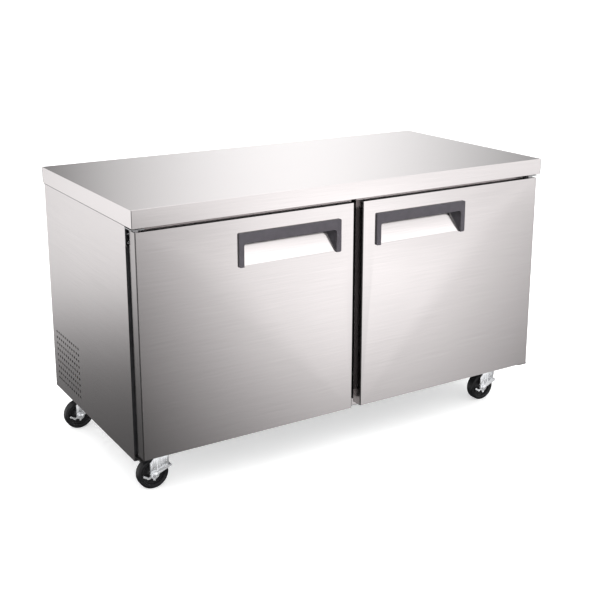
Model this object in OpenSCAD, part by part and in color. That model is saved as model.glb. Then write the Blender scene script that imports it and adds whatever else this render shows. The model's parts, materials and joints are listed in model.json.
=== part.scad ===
// Two-door undercounter refrigerator with a flat worktop, on four braked swivel casters.
// The floor is z = 0, the origin is under the middle of the worktop, and the doors face -Y.
// Lengths are in millimetres. The hinged side of each door is its outer side.

/* [Overall] */
// Width of the worktop
top_w = 1530; // [1500:5:1560]
// Depth of the worktop, front edge to back edge
top_d = 762; // [756:1:770]
// Height from the floor to the worktop's surface
overall_h = 905; // [895:1:915]
// Height of the cabinet's underside above the floor
base_z = 125; // [125:1:130]

/* [Worktop] */
// Height of the worktop's folded edge
top_h = 54; // [50:1:58]
// Thickness of the worktop's sheet
top_sheet = 1.2; // [1:0.1:1.5]

/* [Cabinet] */
// Width over the two side panels
cab_w = 1524; // [1500:2:1528]
// Distance from the worktop's front edge back to the door frame
frame_setback = 60; // [58:1:62]
// Distance from the worktop's back edge forward to the back panel
back_setback = 4; // [3:0.5:6]
// Thickness of the outer panels
panel_t = 1.2; // [1:0.1:1.5]
// Thickness of the foamed side walls
wall_side = 48.6; // [44:0.2:52]
// Thickness of the foamed back wall
wall_back = 48.6; // [44:0.2:52]
// Height of the foamed floor above the cabinet's underside
wall_floor = 57; // [52:1:62]
// Height of the foamed ceiling under the worktop
wall_top = 43; // [40:1:48]
// Thickness of the interior lining
liner_t = 1.2; // [1:0.1:1.5]

/* [Side vent] */
// Holes in each row of the vent
vent_cols = 11; // [8:1:11]
// Rows of holes in the vent
vent_rows = 9; // [6:1:9]
// Diameter of a vent hole
vent_d = 10; // [6:0.5:12]
// Distance between holes along a row
vent_pitch_y = 20.65; // [18:0.05:20.65]
// Distance between rows
vent_pitch_z = 21.25; // [18:0.05:21.25]

/* [Doors] */
// Gap between the two doors
door_gap = 33; // [30:1:36]
// Distance from the side panel's face in to the door's outer edge
door_inset = 7; // [5:1:8]
// Height of the door's lower edge above the cabinet's underside
door_low = 22; // [20:1:24]
// Gap between the door's upper edge and the worktop
door_top_gap = 13; // [12:1:16]
// Distance from the worktop's front edge back to the door's face
door_setback = 6; // [5:0.5:7]
// Thickness of the foamed door without its seal
door_t = 42; // [40:0.5:42]

/* [Handles] */
// Width of the handle's frame
handle_w = 362; // [300:2:380]
// Height of the handle's frame
handle_h = 105; // [95:1:110]
// Distance from the door's free edge to the handle's frame
handle_edge = 51.5; // [40:0.5:70]
// Distance from the door's upper edge down to the handle's frame
handle_drop = 44; // [40:1:60]
// Height of the grip bar
grip_h = 32; // [30:1:40]
// Width of the frame's side legs
leg_w = 17; // [16:1:24]
// How far the frame stands proud of the door
proud = 6; // [4:0.5:6]
// Depth of the finger pocket behind the door's face
pocket_d = 34; // [28:1:34]

/* [Shelves] */
// Height of the lower shelves
shelf_low_z = 432; // [425:1:460]
// Height of the upper shelves
shelf_up_z = 622; // [600:1:640]
// Number of deck wires in a shelf
deck_wires = 24; // [16:1:30]

/* [Casters] */
// Wheel diameter
wheel_d = 100; // [96:1:100]
// Wheel width at the tread
wheel_w = 32; // [28:1:32]
// Distance from the swivel axis back to the wheel's axle
trail = 30; // [24:1:32]
// Distance of the front swivel axes from the middle
stem_front_x = 657; // [640:1:690]
// Distance of the rear swivel axes from the middle
stem_rear_x = 697; // [660:1:700]
// Distance of the front swivel axes behind the door frame
stem_front_in = 49; // [49:1:70]
// Distance of the rear swivel axes in front of the back panel
stem_rear_in = 112; // [60:1:120]

/* [Hidden] */
$fn = 48;

// Air left between neighbouring pieces of the fixed cabinet, and beyond a cut's face
air = 0.2;
eps = 1;
LEFT = -1;
RIGHT = 1;

// Planes of the cabinet
top_z = overall_h - top_h;
cab_x = cab_w / 2;
in_x = cab_x - panel_t;
front_y = frame_setback - top_d / 2;
back_y = top_d / 2 - back_setback;
frame_t = 2;
pan_t = 2;
pan_z = base_z + pan_t;
flange_w = 20;

// Interior space, measured to the outer face of the lining
hollow_x = cab_x - panel_t - wall_side;
hollow_z0 = base_z + wall_floor;
hollow_z1 = top_z - wall_top;
hollow_y1 = back_y - panel_t - wall_back;

// Machine compartment across the lower back, and the raised floor above it
bay_y0 = 110;
bay_z1 = base_z + 240;
step_y = bay_y0 - 44;
step_z = bay_z1 + 43;
tray_z = pan_z + air + pan_t;

// Holes for hoses and pipes in the raised floor: drain tube, and pipe slot
drain_at = [-200, 300];
pipe_x = 315;
pipe_y = 289;

// Planes of a door, drawn for the left side and mirrored for the right one
door_x0 = -cab_x + door_inset;
door_x1 = -door_gap / 2;
door_z0 = base_z + door_low;
door_z1 = top_z - door_top_gap;
face_y = door_setback - top_d / 2;
door_y1 = face_y + door_t;
skin_t = 1.2;
door_liner_t = 2;
skin_y1 = door_y1 - door_liner_t;
seal_y1 = front_y - 0.3;
seal_w = 19;

// Hinge pins
pin_x = -cab_x + 20;
pin_y = face_y + 22;
pin_r = 5;
fit = 0.05;
leaf_t = 3;
pin_len = 28;
hinge_block = 26;

// Handle frame and its pocket, on the left door
handle_x1 = door_x1 - handle_edge;
handle_x0 = handle_x1 - handle_w;
handle_z1 = door_z1 - handle_drop;
handle_z0 = handle_z1 - handle_h;
cheek_splay = 20;
pocket_y1 = face_y + pocket_d;
scoop_z = handle_z0 + 2;

// Screws
screw_r = 2;
screw_head_r = 4.5;
back_screw_x = in_x - 10;
back_screws_z = [for (i = [0:4]) bay_z1 + 35 + i * 105];
grille_screws_z = [for (i = [0:2]) base_z + 25 + i * 95];
leaf_up_screws = [[-cab_x + 9, door_z1 - 13], [-cab_x + 9, door_z1 - 38]];
leaf_down_screws = [[-cab_x + 10, base_z + 9], [-cab_x + 32, base_z + 9]];

// Shelf rails, the rear post and the shelves between them
mullion_d = 40;
mullion_back = front_y + mullion_d;
side_rail_x = hollow_x - liner_t - 8;
rail_y = [-250, 180];
post_y = 185;
post_w = 25;
rail_z0 = 200;
rail_z1 = hollow_z1 - liner_t - 6;
ledge_t = 3;
rod_r = 3;
shelf_x0 = -side_rail_x + 7;
shelf_x1 = -16;
shelf_y0 = mullion_back + 19;
shelf_y1 = 198;

// Evaporator
evap_x = 330;
evap_y0 = 215;
evap_z0 = 560;
evap_z1 = 798;
evap_fan_x = 150;
evap_fan_z = 688;
evap_fan_r = 70;
evap_coil_x = 301.5;
knob_x = evap_x + 22;
knob_z = 690;

// Machine compartment
cond_y0 = 128;
cond_y1 = 340;
cond_z0 = 140;
cond_z1 = 350;
cond_x0 = -cab_x + 24;
cond_x1 = cond_x0 + 56;
shroud_x1 = cond_x1 + 42;
cond_fan_y = 234;
cond_fan_z = 245;
cond_fan_r = 90;
comp_at = [-420, 240];
comp_r = 85;
comp_z0 = tray_z + 17;
comp_z1 = comp_z0 + 175;
box_x = 400;
inlet_x = 690;
inlet_z = base_z + 75;
inlet_r = 11;
cord_r = 4.5;
drier_z = 200;
drier_y = 300;
drier_x0 = -30;
drier_l = 160;

// Casters: swivel axes, and heights of the pieces
STEMS = [
    [-stem_front_x, front_y + stem_front_in],
    [stem_front_x, front_y + stem_front_in],
    [-stem_rear_x, back_y - stem_rear_in],
    [stem_rear_x, back_y - stem_rear_in]
];
axle_z = wheel_d / 2;
axle_r = 6;
plate_w = 96;
plate_d = 86;
plate_t = 4;
bolt_x = 38;
bolt_y = 33;
bolt_r = 4;
boss_z = base_z - 12;
king_r = 6;
crown_z = boss_z - 0.5;
fork_t = 3;
fork_y = wheel_w / 2 + 1.5;
brake_t = 2.8;
brake_rise = 20;

// Plain building blocks

module slab(x0, x1, y0, y1, z0, z1) {
    translate([x0, y0, z0]) cube([x1 - x0, y1 - y0, z1 - z0]);
}

module rod_x(x0, x1, y, z, r) {
    translate([x0, y, z]) rotate([0, 90, 0]) cylinder(r = r, h = x1 - x0);
}

module rod_y(x, y0, y1, z, r) {
    translate([x, y0, z]) rotate([-90, 0, 0]) cylinder(r = r, h = y1 - y0);
}

module rod_z(x, y, z0, z1, r) {
    translate([x, y, z0]) cylinder(r = r, h = z1 - z0);
}

// Outline in Y and Z, pushed along X
module along_x(x0, x1) {
    translate([x0, 0, 0]) rotate([90, 0, 90]) linear_extrude(x1 - x0) children();
}

// Outline in X and Z, pushed along Y
module along_y(y0, y1) {
    translate([0, y1, 0]) rotate([90, 0, 0]) linear_extrude(y1 - y0) children();
}

// Everything is drawn for the left side
module on_side(side) {
    mirror([side == RIGHT ? 1 : 0, 0, 0]) children();
}

module both_sides() {
    for (side = [LEFT, RIGHT]) on_side(side) children();
}

module rounded_rect(x0, x1, z0, z1, r) {
    translate([x0 + r, z0]) square([x1 - x0 - 2 * r, z1 - z0]);
    translate([x0, z0 + r]) square([x1 - x0, z1 - z0 - 2 * r]);
    for (x = [x0 + r, x1 - r], z = [z0 + r, z1 - r]) translate([x, z]) circle(r);
}

// Pipe through a list of points, with a ball at each bend
module pipe(points, r) {
    for (i = [0:len(points) - 2]) {
        run = points[i + 1] - points[i];
        turn = [0, acos(run[2] / norm(run)), atan2(run[1], run[0])];
        translate(points[i]) rotate(turn) cylinder(r = r, h = norm(run));
    }
    for (i = [1:len(points) - 2]) translate(points[i]) sphere(r);
}

// Half ring of tube that joins two runs of a coil
module return_bend() {
    rotate_extrude(angle = 180) translate([11, 0]) circle(4);
}

// Worktop

module worktop() {
    w = top_w / 2;
    d = top_d / 2;
    color("silver") difference() {
        slab(-w, w, -d, d, top_z, overall_h);
        slab(-w + top_sheet, w - top_sheet, -d + top_sheet, d - top_sheet,
             top_z + top_sheet, overall_h - top_sheet);
        slab(-w + 35, w - 35, front_y + frame_t, back_y - flange_w,
             top_z - eps, top_z + top_sheet + eps);
    }
}

module worktop_core() {
    w = top_w / 2 - top_sheet - air;
    d = top_d / 2 - top_sheet - air;
    color("khaki") slab(-w, w, -d, d, top_z + top_sheet + air, overall_h - top_sheet - air);
}

// Outer panels

module side_panel() {
    difference() {
        union() {
            slab(-cab_x, -in_x, front_y, back_y, base_z, top_z);
            slab(-cab_x, -in_x + flange_w, front_y + frame_t + air, back_y - 2 * panel_t - 2 * air,
                 top_z - panel_t, top_z);
            slab(-cab_x, -in_x + flange_w, back_y - 2 * panel_t - air, back_y - panel_t - air,
                 pan_z + air, top_z - panel_t - air);
        }
        for (z = concat(back_screws_z, grille_screws_z))
            rod_y(-back_screw_x, back_y - 10, back_y, z, screw_r + air);
    }
}

module side_panel_left() {
    vent_y = back_y - 40 - (vent_cols - 1) * vent_pitch_y;
    vent_z = base_z + 41.5;
    color("lightgray") difference() {
        side_panel();
        for (i = [0:vent_cols - 1], j = [0:vent_rows - 1])
            rod_x(-cab_x - eps, -in_x + eps, vent_y + i * vent_pitch_y,
                  vent_z + j * vent_pitch_z, vent_d / 2);
    }
}

module side_panel_right() {
    color("lightgray") on_side(RIGHT) side_panel();
}

module back_panel() {
    x = in_x - air;
    color("darkgray") difference() {
        slab(-x, x, back_y - panel_t, back_y, bay_z1 + 1, top_z - air);
        both_sides() for (z = back_screws_z)
            rod_y(-back_screw_x, back_y - 10, back_y + eps, z, screw_r + air);
    }
}

module rear_grille() {
    x = in_x - air;
    columns = 6;
    rows = 9;
    slot = [150, 7];
    pitch_x = 225;
    color("darkgray") difference() {
        slab(-x, x, back_y - panel_t, back_y, pan_z + air, bay_z1);
        for (i = [0:columns - 1], j = [0:rows - 1]) {
            slot_x = (i - (columns - 1) / 2) * pitch_x;
            slot_z = base_z + 40 + j * 20;
            slab(slot_x - slot[0] / 2, slot_x + slot[0] / 2, back_y - 10, back_y + eps,
                 slot_z, slot_z + slot[1]);
        }
        both_sides() for (z = grille_screws_z)
            rod_y(-back_screw_x, back_y - 10, back_y + eps, z, screw_r + air);
        rod_y(inlet_x, back_y - 10, back_y + eps, inlet_z, inlet_r + air);
    }
}

module base_pan() {
    x = in_x - air;
    color("darkgray") difference() {
        slab(-x, x, front_y + air, back_y - 2 * panel_t - 2 * air, base_z, pan_z);
        bolt_holes();
    }
}

// Foam and lining

module bay_outline() {
    translate([bay_y0, pan_z - eps]) square([400, bay_z1 - pan_z + eps]);
}

module hollow_outline(inset, front) {
    polygon([
        [front, hollow_z0 + inset],
        [step_y - inset, hollow_z0 + inset],
        [step_y - inset, step_z + inset],
        [hollow_y1 - inset, step_z + inset],
        [hollow_y1 - inset, hollow_z1 - inset],
        [front, hollow_z1 - inset]
    ]);
}

module step_holes() {
    rod_z(drain_at[0], drain_at[1], bay_z1 - 5, step_z + 5, 8);
    slab(pipe_x - 12, pipe_x + 12, pipe_y - 21, pipe_y + 21, bay_z1 - 5, step_z + 5);
}

module cabinet_insulation() {
    x = in_x - air;
    y0 = front_y + frame_t + air;
    y1 = back_y - 2 * panel_t - 2 * air;
    z1 = top_z - panel_t - air;
    color("khaki") difference() {
        slab(-x, x, y0, y1, pan_z + air, z1);
        along_x(-x - eps, x + eps) bay_outline();
        along_x(-hollow_x - air, hollow_x + air) hollow_outline(-air, y0 - eps);
        step_holes();
    }
}

module inner_liner() {
    y0 = front_y + frame_t + air;
    color("gainsboro") difference() {
        along_x(-hollow_x, hollow_x) hollow_outline(0, y0);
        along_x(-hollow_x + liner_t, hollow_x - liner_t) hollow_outline(liner_t, y0 - eps);
        step_holes();
    }
}

module front_frame() {
    x = in_x - air;
    color("silver") difference() {
        slab(-x, x, front_y, front_y + frame_t, pan_z + air, top_z - air);
        slab(-hollow_x, hollow_x, front_y - eps, front_y + frame_t + eps, hollow_z0, hollow_z1);
        both_sides() for (at = concat(leaf_up_screws, leaf_down_screws))
            rod_y(at[0], front_y - eps, front_y + frame_t + eps, at[1], screw_r + air);
    }
}

module centre_mullion() {
    x = 40;
    tube = 1.5;
    z0 = hollow_z0 + liner_t;
    z1 = hollow_z1 - liner_t;
    color("silver") difference() {
        slab(-x, x, front_y, front_y + mullion_d, z0, z1);
        slab(-x + tube, x - tube, front_y + tube, front_y + mullion_d - tube, z0 - eps, z1 + eps);
    }
}

// Hinges

module hinge_leaf(z0, z1, plate_z, screws) {
    inner = -cab_x + 40;
    difference() {
        union() {
            slab(-cab_x, inner, face_y + 6, front_y, plate_z, plate_z + leaf_t);
            slab(-cab_x, z0 < 200 ? inner : pin_x - 1, front_y - leaf_t, front_y, z0, z1);
        }
        for (at = screws) rod_y(at[0], front_y - 10, front_y + eps, at[1], screw_r + air);
    }
}

module hinge_brackets() {
    upper_z = door_z1 + 5;
    lower_z = door_z0 - 3 - leaf_t;
    washer_r = 9;
    color("silver") both_sides() {
        hinge_leaf(door_z1 - 46, upper_z + leaf_t, upper_z, leaf_up_screws);
        hinge_leaf(base_z + 2.5, lower_z + leaf_t, lower_z, leaf_down_screws);
        rod_z(pin_x, pin_y, upper_z - 5 - pin_len, upper_z, pin_r);
        rod_z(pin_x, pin_y, upper_z - 4.8, upper_z, washer_r);
        rod_z(pin_x, pin_y, lower_z + leaf_t, door_z0 + pin_len, pin_r);
        rod_z(pin_x, pin_y, lower_z + leaf_t, door_z0 - 0.1, washer_r);
    }
}

// Fasteners: panel screws, hinge screws and the caster bolts

module bolt_holes() {
    for (stem = STEMS, sx = [-1, 1], sy = [-1, 1])
        rod_z(stem[0] + sx * bolt_x, stem[1] + sy * bolt_y,
              base_z - plate_t - eps, pan_z + eps, bolt_r + air);
}

module fasteners() {
    head_t = 2;
    grip = 2 * panel_t + air;
    nut_z = base_z - plate_t;
    color("gainsboro") {
        both_sides() {
            for (z = concat(back_screws_z, grille_screws_z)) {
                rod_y(-back_screw_x, back_y, back_y + head_t, z, screw_head_r);
                rod_y(-back_screw_x, back_y - grip, back_y, z, screw_r);
            }
            for (at = concat(leaf_up_screws, leaf_down_screws)) {
                rod_y(at[0], front_y - leaf_t - head_t, front_y - leaf_t, at[1], screw_head_r - 0.5);
                rod_y(at[0], front_y - leaf_t, front_y + frame_t, at[1], screw_r);
            }
        }
        for (stem = STEMS, sx = [-1, 1], sy = [-1, 1])
            translate([stem[0] + sx * bolt_x, stem[1] + sy * bolt_y, 0]) {
                translate([0, 0, nut_z - 5]) cylinder(r = 7, h = 5, $fn = 6);
                translate([0, 0, nut_z]) cylinder(r = bolt_r, h = pan_z - nut_z);
            }
    }
}

// Shelf supports and shelves

module slotted_rail(y, z0, z1) {
    slots = floor((z1 - z0 - 20) / 25);
    difference() {
        slab(-hollow_x + liner_t, -side_rail_x, y, y + 18, z0, z1);
        slab(-hollow_x + liner_t - eps, -side_rail_x - 1.5, y + 1.5, y + 16.5, z0 - eps, z1 + eps);
        for (i = [0:slots]) slab(-side_rail_x - 3, -side_rail_x + eps, y + 7, y + 11,
                                 z0 + 6 + i * 25, z0 + 16 + i * 25);
    }
}

module shelf_standards() {
    post_z0 = step_z + liner_t;
    post_z1 = hollow_z1 - liner_t;
    color("gainsboro") {
        both_sides() {
            slotted_rail(rail_y[0], rail_z0, rail_z1);
            slotted_rail(rail_y[1], step_z + liner_t + 2, rail_z1);
        }
        slab(-9, 9, mullion_back, mullion_back + 8, rail_z0, rail_z1);
        difference() {
            slab(-post_w / 2, post_w / 2, post_y, post_y + post_w, post_z0, post_z1);
            slab(-post_w / 2 + 1.5, post_w / 2 - 1.5, post_y + 1.5, post_y + post_w - 1.5,
                 post_z0 - eps, post_z1 + eps);
        }
    }
}

module shelf_clips() {
    color("silver") for (z = [shelf_low_z, shelf_up_z]) {
        ledge = z - rod_r - ledge_t;
        both_sides() {
            for (y = rail_y) {
                slab(-side_rail_x, -side_rail_x + 18, y + 2, y + 16, ledge, ledge + ledge_t);
                slab(-side_rail_x, -side_rail_x + 1.5, y + 2, y + 16, ledge - 14, ledge);
            }
            slab(-post_w / 2 - 18, -post_w / 2, post_y, post_y + 14, ledge, ledge + ledge_t);
            slab(-post_w / 2 - 1.5, -post_w / 2, post_y, post_y + 14, ledge - 14, ledge);
        }
        slab(-28, 28, mullion_back + 8, mullion_back + 30, ledge, ledge + ledge_t);
        slab(-9, 9, mullion_back + 8, mullion_back + 9.5, ledge - 14, ledge);
    }
}

// Wire shelf of eight-sided bars, with its deck wires sunk a little into the frame bars
module wire_shelf(z) {
    wire_r = 1.6;
    deck_z = z + rod_r + wire_r - 0.6;
    x0 = shelf_x0 + rod_r;
    x1 = shelf_x1 - rod_r;
    y0 = shelf_y0 + rod_r;
    y1 = shelf_y1 - rod_r;
    pitch = (x1 - x0) / (deck_wires + 1);
    color("white") {
        for (y = [y0, (y0 + y1) / 2, y1])
            translate([shelf_x0, y, z]) rotate([0, 90, 0])
                cylinder(r = rod_r, h = shelf_x1 - shelf_x0, $fn = 8);
        for (x = [x0, x1])
            translate([x, shelf_y0, z]) rotate([-90, 0, 0])
                cylinder(r = rod_r, h = shelf_y1 - shelf_y0, $fn = 8);
        for (i = [1:deck_wires])
            translate([x0 + i * pitch, shelf_y0, deck_z]) rotate([-90, 0, 0])
                cylinder(r = wire_r, h = shelf_y1 - shelf_y0, $fn = 8);
    }
}

module shelf_upper_left() {
    wire_shelf(shelf_up_z);
}

module shelf_upper_right() {
    on_side(RIGHT) wire_shelf(shelf_up_z);
}

module shelf_lower_left() {
    wire_shelf(shelf_low_z);
}

module shelf_lower_right() {
    on_side(RIGHT) wire_shelf(shelf_low_z);
}

// Evaporator, its fans and the thermostat

module evaporator_cover() {
    sheet = 1;
    guard_rings = [76, 58, 40, 22];
    back = hollow_y1 - liner_t;
    color("whitesmoke") {
        difference() {
            slab(-evap_x, evap_x, evap_y0, back, evap_z0, evap_z1);
            slab(-evap_x + sheet, evap_x - sheet, evap_y0 + sheet, back + eps,
                 evap_z0 - eps, evap_z1 - sheet);
            both_sides() rod_y(-evap_fan_x, evap_y0 - eps, evap_y0 + sheet + eps, evap_fan_z, 75);
            for (i = [0:5]) slab(-evap_x - eps, evap_x + eps, 246, 316,
                                 evap_z0 + 96 + i * 18, evap_z0 + 102 + i * 18);
        }
        both_sides() {
            for (r = guard_rings) difference() {
                rod_y(-evap_fan_x, evap_y0 - 2, evap_y0, evap_fan_z, r + 1.5);
                rod_y(-evap_fan_x, evap_y0 - 3, evap_y0 + 1, evap_fan_z, r - 1.5);
            }
            slab(-evap_fan_x - 77, -evap_fan_x + 77, evap_y0 - 2, evap_y0,
                 evap_fan_z - 2, evap_fan_z + 2);
            slab(-evap_fan_x - 2, -evap_fan_x + 2, evap_y0 - 2, evap_y0,
                 evap_fan_z - 77, evap_fan_z + 77);
        }
    }
}

module evaporator_coil() {
    x = evap_coil_x;
    y0 = 266;
    y1 = 318;
    z0 = 584;
    z1 = 772;
    color("silver") {
        slab(-x + 4, x - 4, y0 + 2, y1 - 2, z0 + 2, z1 - 2);
        both_sides() {
            slab(-x, -x + 4.5, y0, y1, z0, z1);
            for (i = [0:3])
                translate([-x + eps, (y0 + y1) / 2 + 8, z0 + 28 + i * 44]) rotate([0, -90, 90])
                    return_bend();
        }
    }
}

module bladed_rotor(hub_r, hub_h, tip_r, chord, blades, bore_r) {
    difference() {
        union() {
            cylinder(r = hub_r, h = hub_h);
            for (i = [0:blades - 1])
                rotate([0, 0, i * 360 / blades]) translate([0, 0, hub_h / 2])
                    rotate([32, 0, 0]) translate([0, -chord / 2, -0.8])
                        cube([tip_r, chord, 1.6]);
        }
        translate([0, 0, -chord]) cylinder(r = bore_r, h = 3 * chord);
    }
}

module evaporator_fan(side) {
    color("dimgray") on_side(side) translate([-evap_fan_x, 240, evap_fan_z]) rotate([90, 0, 0])
        bladed_rotor(20, 16, evap_fan_r - 6, 34, 5, 3 + fit);
}

module evaporator_fan_left() {
    evaporator_fan(LEFT);
}

module evaporator_fan_right() {
    evaporator_fan(RIGHT);
}

module evaporator_fan_motors() {
    color("dimgray") both_sides() {
        rod_y(-evap_fan_x, 246, 262, evap_fan_z, 30);
        rod_y(-evap_fan_x, 222, 246, evap_fan_z, 3);
        slab(-evap_fan_x - 10, -evap_fan_x + 10, 262, 264, evap_fan_z - 60, evap_z1 - 1);
    }
}

module evaporator_drain_pan() {
    x0 = -evap_x + 2;
    x1 = 290;
    y0 = evap_y0 + 2;
    y1 = hollow_y1 - liner_t - 1;
    z0 = evap_z0 + 1;
    color("silver") difference() {
        union() {
            slab(x0, x1, y0, y1, z0, z0 + 14);
            rod_z(drain_at[0], drain_at[1], tray_z + 25, z0, 6);
        }
        slab(x0 + 1.5, x1 - 1.5, y0 + 1.5, y1 - 1.5, z0 + 1.5, z0 + 15);
        rod_z(drain_at[0], drain_at[1], tray_z, z0 + 5, 4.5);
    }
}

module thermostat() {
    color("whitesmoke") {
        slab(evap_x, evap_x + 44, 240, 300, knob_z - 32, knob_z + 32);
        rod_y(knob_x, 226, 240, knob_z, 3);
    }
}

module thermostat_knob() {
    color("black") difference() {
        union() {
            rod_y(knob_x, 228, 239.5, knob_z, 16);
            slab(knob_x - 3, knob_x + 3, 222, 228, knob_z - 15, knob_z + 15);
        }
        rod_y(knob_x, 224, 241, knob_z, 3 + fit);
    }
}

// Condensing unit in the machine compartment

module unit_tray() {
    lip = 16;
    y1 = back_y - 6;
    color("darkgray") {
        slab(cond_x0 - 8, 620, bay_y0 + 15, y1, tray_z - pan_t, tray_z);
        slab(cond_x0 - 8, 620, y1 - pan_t, y1, tray_z - pan_t, tray_z + lip);
    }
}

module compressor() {
    shell = concat(
        [for (a = [90:-10:0]) [comp_r * cos(a), comp_z0 + 20 - 20 * sin(a)]],
        [for (a = [0:10:90]) [comp_r * cos(a), comp_z1 - 55 + 55 * sin(a)]]
    );
    color([0.12, 0.12, 0.13]) translate([comp_at[0], comp_at[1], 0]) {
        difference() {
            union() {
                rotate_extrude() polygon(shell);
                slab(-100, 100, -72, 72, comp_z0 - 3, comp_z0 + 4);
            }
            for (sx = [-1, 1], sy = [-1, 1])
                rod_z(sx * 88, sy * 60, comp_z0 - 5, comp_z0 + 5, 5);
        }
        for (sx = [-1, 1], sy = [-1, 1])
            rod_z(sx * 88, sy * 60, tray_z, comp_z0 - 3, 11);
        slab(-28, 28, -comp_r - 16, -comp_r + 6, comp_z0 + 50, comp_z0 + 100);
    }
}

module condenser_coil() {
    sheet = 1.2;
    color("dimgray") {
        slab(cond_x0, cond_x1, cond_y0 + 2, cond_y1 - 2, cond_z0 + 2, cond_z1 - 2);
        slab(cond_x0, cond_x1, cond_y0, cond_y0 + 2, tray_z, cond_z1);
        slab(cond_x0, cond_x1, cond_y1 - 2, cond_y1, tray_z, cond_z1);
        difference() {
            slab(cond_x1, shroud_x1, cond_y0, cond_y1, cond_z0, cond_z1);
            slab(cond_x1 - eps, shroud_x1 - sheet, cond_y0 + sheet, cond_y1 - sheet,
                 cond_z0 + sheet, cond_z1 - sheet);
            rod_x(cond_x1, shroud_x1 + eps, cond_fan_y, cond_fan_z, cond_fan_r + 4);
        }
        for (i = [0:5])
            translate([(cond_x0 + cond_x1) / 2, cond_y1 - eps, cond_z0 + 22 + i * 33])
                rotate([0, -90, 0]) return_bend();
    }
}

module condenser_fan() {
    color("dimgray") translate([shroud_x1 - 30, cond_fan_y, cond_fan_z]) rotate([0, 90, 0])
        bladed_rotor(24, 18, cond_fan_r - 4, 34, 5, 3 + fit);
}

module condenser_fan_motor() {
    x0 = shroud_x1 + 8;
    color("dimgray") {
        rod_x(x0, x0 + 58, cond_fan_y, cond_fan_z, 38);
        rod_x(shroud_x1 - 32, x0, cond_fan_y, cond_fan_z, 3);
        slab(x0 - 2, x0, cond_fan_y - 12, cond_fan_y + 12, cond_z0, cond_z1);
        for (z = [cond_z0, cond_z1 - 8])
            slab(shroud_x1, x0 - 2, cond_fan_y - 12, cond_fan_y + 12, z, z + 8);
    }
}

module refrigerant_lines() {
    lane_y = bay_y0 + 9;
    coil_x = (cond_x0 + cond_x1) / 2;
    suction_z = bay_z1 - 18;
    color([0.72, 0.45, 0.2]) {
        pipe([
            [comp_at[0] + 55, comp_at[1] - 68.5, comp_z1 - 70],
            [comp_at[0] + 55, lane_y, comp_z1 - 70],
            [coil_x, lane_y, comp_z1 - 70],
            [coil_x, cond_y0, comp_z1 - 70]
        ], 4);
        pipe([
            [coil_x, cond_y0, cond_z0 + 25],
            [coil_x, lane_y, cond_z0 + 25],
            [drier_x0 - 15, lane_y, cond_z0 + 25],
            [drier_x0 - 15, lane_y, drier_z],
            [drier_x0 - 15, drier_y, drier_z],
            [drier_x0, drier_y, drier_z]
        ], 4);
        pipe([
            [drier_x0 + drier_l, drier_y, drier_z],
            [pipe_x - 5, drier_y, drier_z],
            [pipe_x - 5, drier_y, evap_z0 + 30],
            [evap_coil_x, drier_y, evap_z0 + 30]
        ], 2.5);
        pipe([
            [evap_coil_x, 276, evap_z0 + 90],
            [pipe_x, 276, evap_z0 + 90],
            [pipe_x, 276, suction_z],
            [comp_at[0] + comp_r + 22, 276, suction_z],
            [comp_at[0] + comp_r + 22, comp_at[1], suction_z],
            [comp_at[0] + comp_r + 22, comp_at[1], comp_z0 + 80],
            [comp_at[0] + comp_r, comp_at[1], comp_z0 + 80]
        ], 6);
    }
}

module filter_drier() {
    body = [[0, 0], [5, 0], [15, 18], [15, drier_l - 18], [5, drier_l], [0, drier_l]];
    color([0.72, 0.45, 0.2]) translate([drier_x0, drier_y, drier_z]) rotate([0, 90, 0])
        rotate_extrude() polygon(body);
}

module electrical_box() {
    x0 = box_x;
    color("gray") {
        slab(x0, x0 + 160, 250, 352, tray_z, tray_z + 108);
        slab(x0 - 3, x0 + 163, 247, 355, tray_z + 108, tray_z + 114);
    }
}

module condensate_pan() {
    x0 = -310;
    x1 = -62;
    y0 = 150;
    y1 = 345;
    wall = 2;
    color("black") difference() {
        slab(x0, x1, y0, y1, tray_z, tray_z + 40);
        slab(x0 + wall, x1 - wall, y0 + wall, y1 - wall, tray_z + wall, tray_z + 41);
    }
}

module power_inlet() {
    color("black") difference() {
        union() {
            rod_y(inlet_x, back_y - 20, back_y + 3.5, inlet_z, inlet_r);
            rod_y(inlet_x, back_y, back_y + 3.5, inlet_z, inlet_r + 4);
            rod_y(inlet_x, back_y - 12, back_y - panel_t, inlet_z, inlet_r + 3);
        }
        rod_y(inlet_x, back_y - 21, back_y + 5, inlet_z, cord_r);
    }
}

// Doors, drawn for the left side

module scoop_outline(inset) {
    back = pocket_y1 - inset;
    polygon([
        [face_y - eps, scoop_z + inset],
        [face_y, scoop_z + inset],
        [back, handle_z0 + 68 + inset],
        [back, handle_z1 - 2 - inset],
        [face_y - eps, handle_z1 - 2 - inset]
    ]);
}

module hinge_sockets(grow) {
    half = hinge_block / 2 + grow;
    for (z = [[door_z0 + skin_t, door_z0 + pin_len + 1], [door_z1 - pin_len - 1, door_z1 - skin_t]])
        slab(pin_x - 11.8 - grow, pin_x + half, pin_y - half, pin_y + half,
             z[0] - grow, z[1] + grow);
}

module door_skin() {
    difference() {
        union() {
            difference() {
                slab(door_x0, door_x1, face_y, skin_y1, door_z0, door_z1);
                slab(door_x0 + skin_t, door_x1 - skin_t, face_y + skin_t, skin_y1 + eps,
                     door_z0 + skin_t, door_z1 - skin_t);
                slab(handle_x0 + 1, handle_x1 - 1, face_y - eps, face_y + skin_t + eps,
                     scoop_z, handle_z1 - 1);
            }
            difference() {
                along_x(handle_x0 + 1, handle_x1 - 1) scoop_outline(-1);
                along_x(handle_x0, handle_x1) scoop_outline(0);
                slab(handle_x0, handle_x1, face_y - 5, face_y, door_z0, door_z1);
            }
            hinge_sockets(0);
        }
        rod_z(pin_x, pin_y, door_z0 - eps, door_z1 + eps, pin_r + fit);
    }
}

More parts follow.
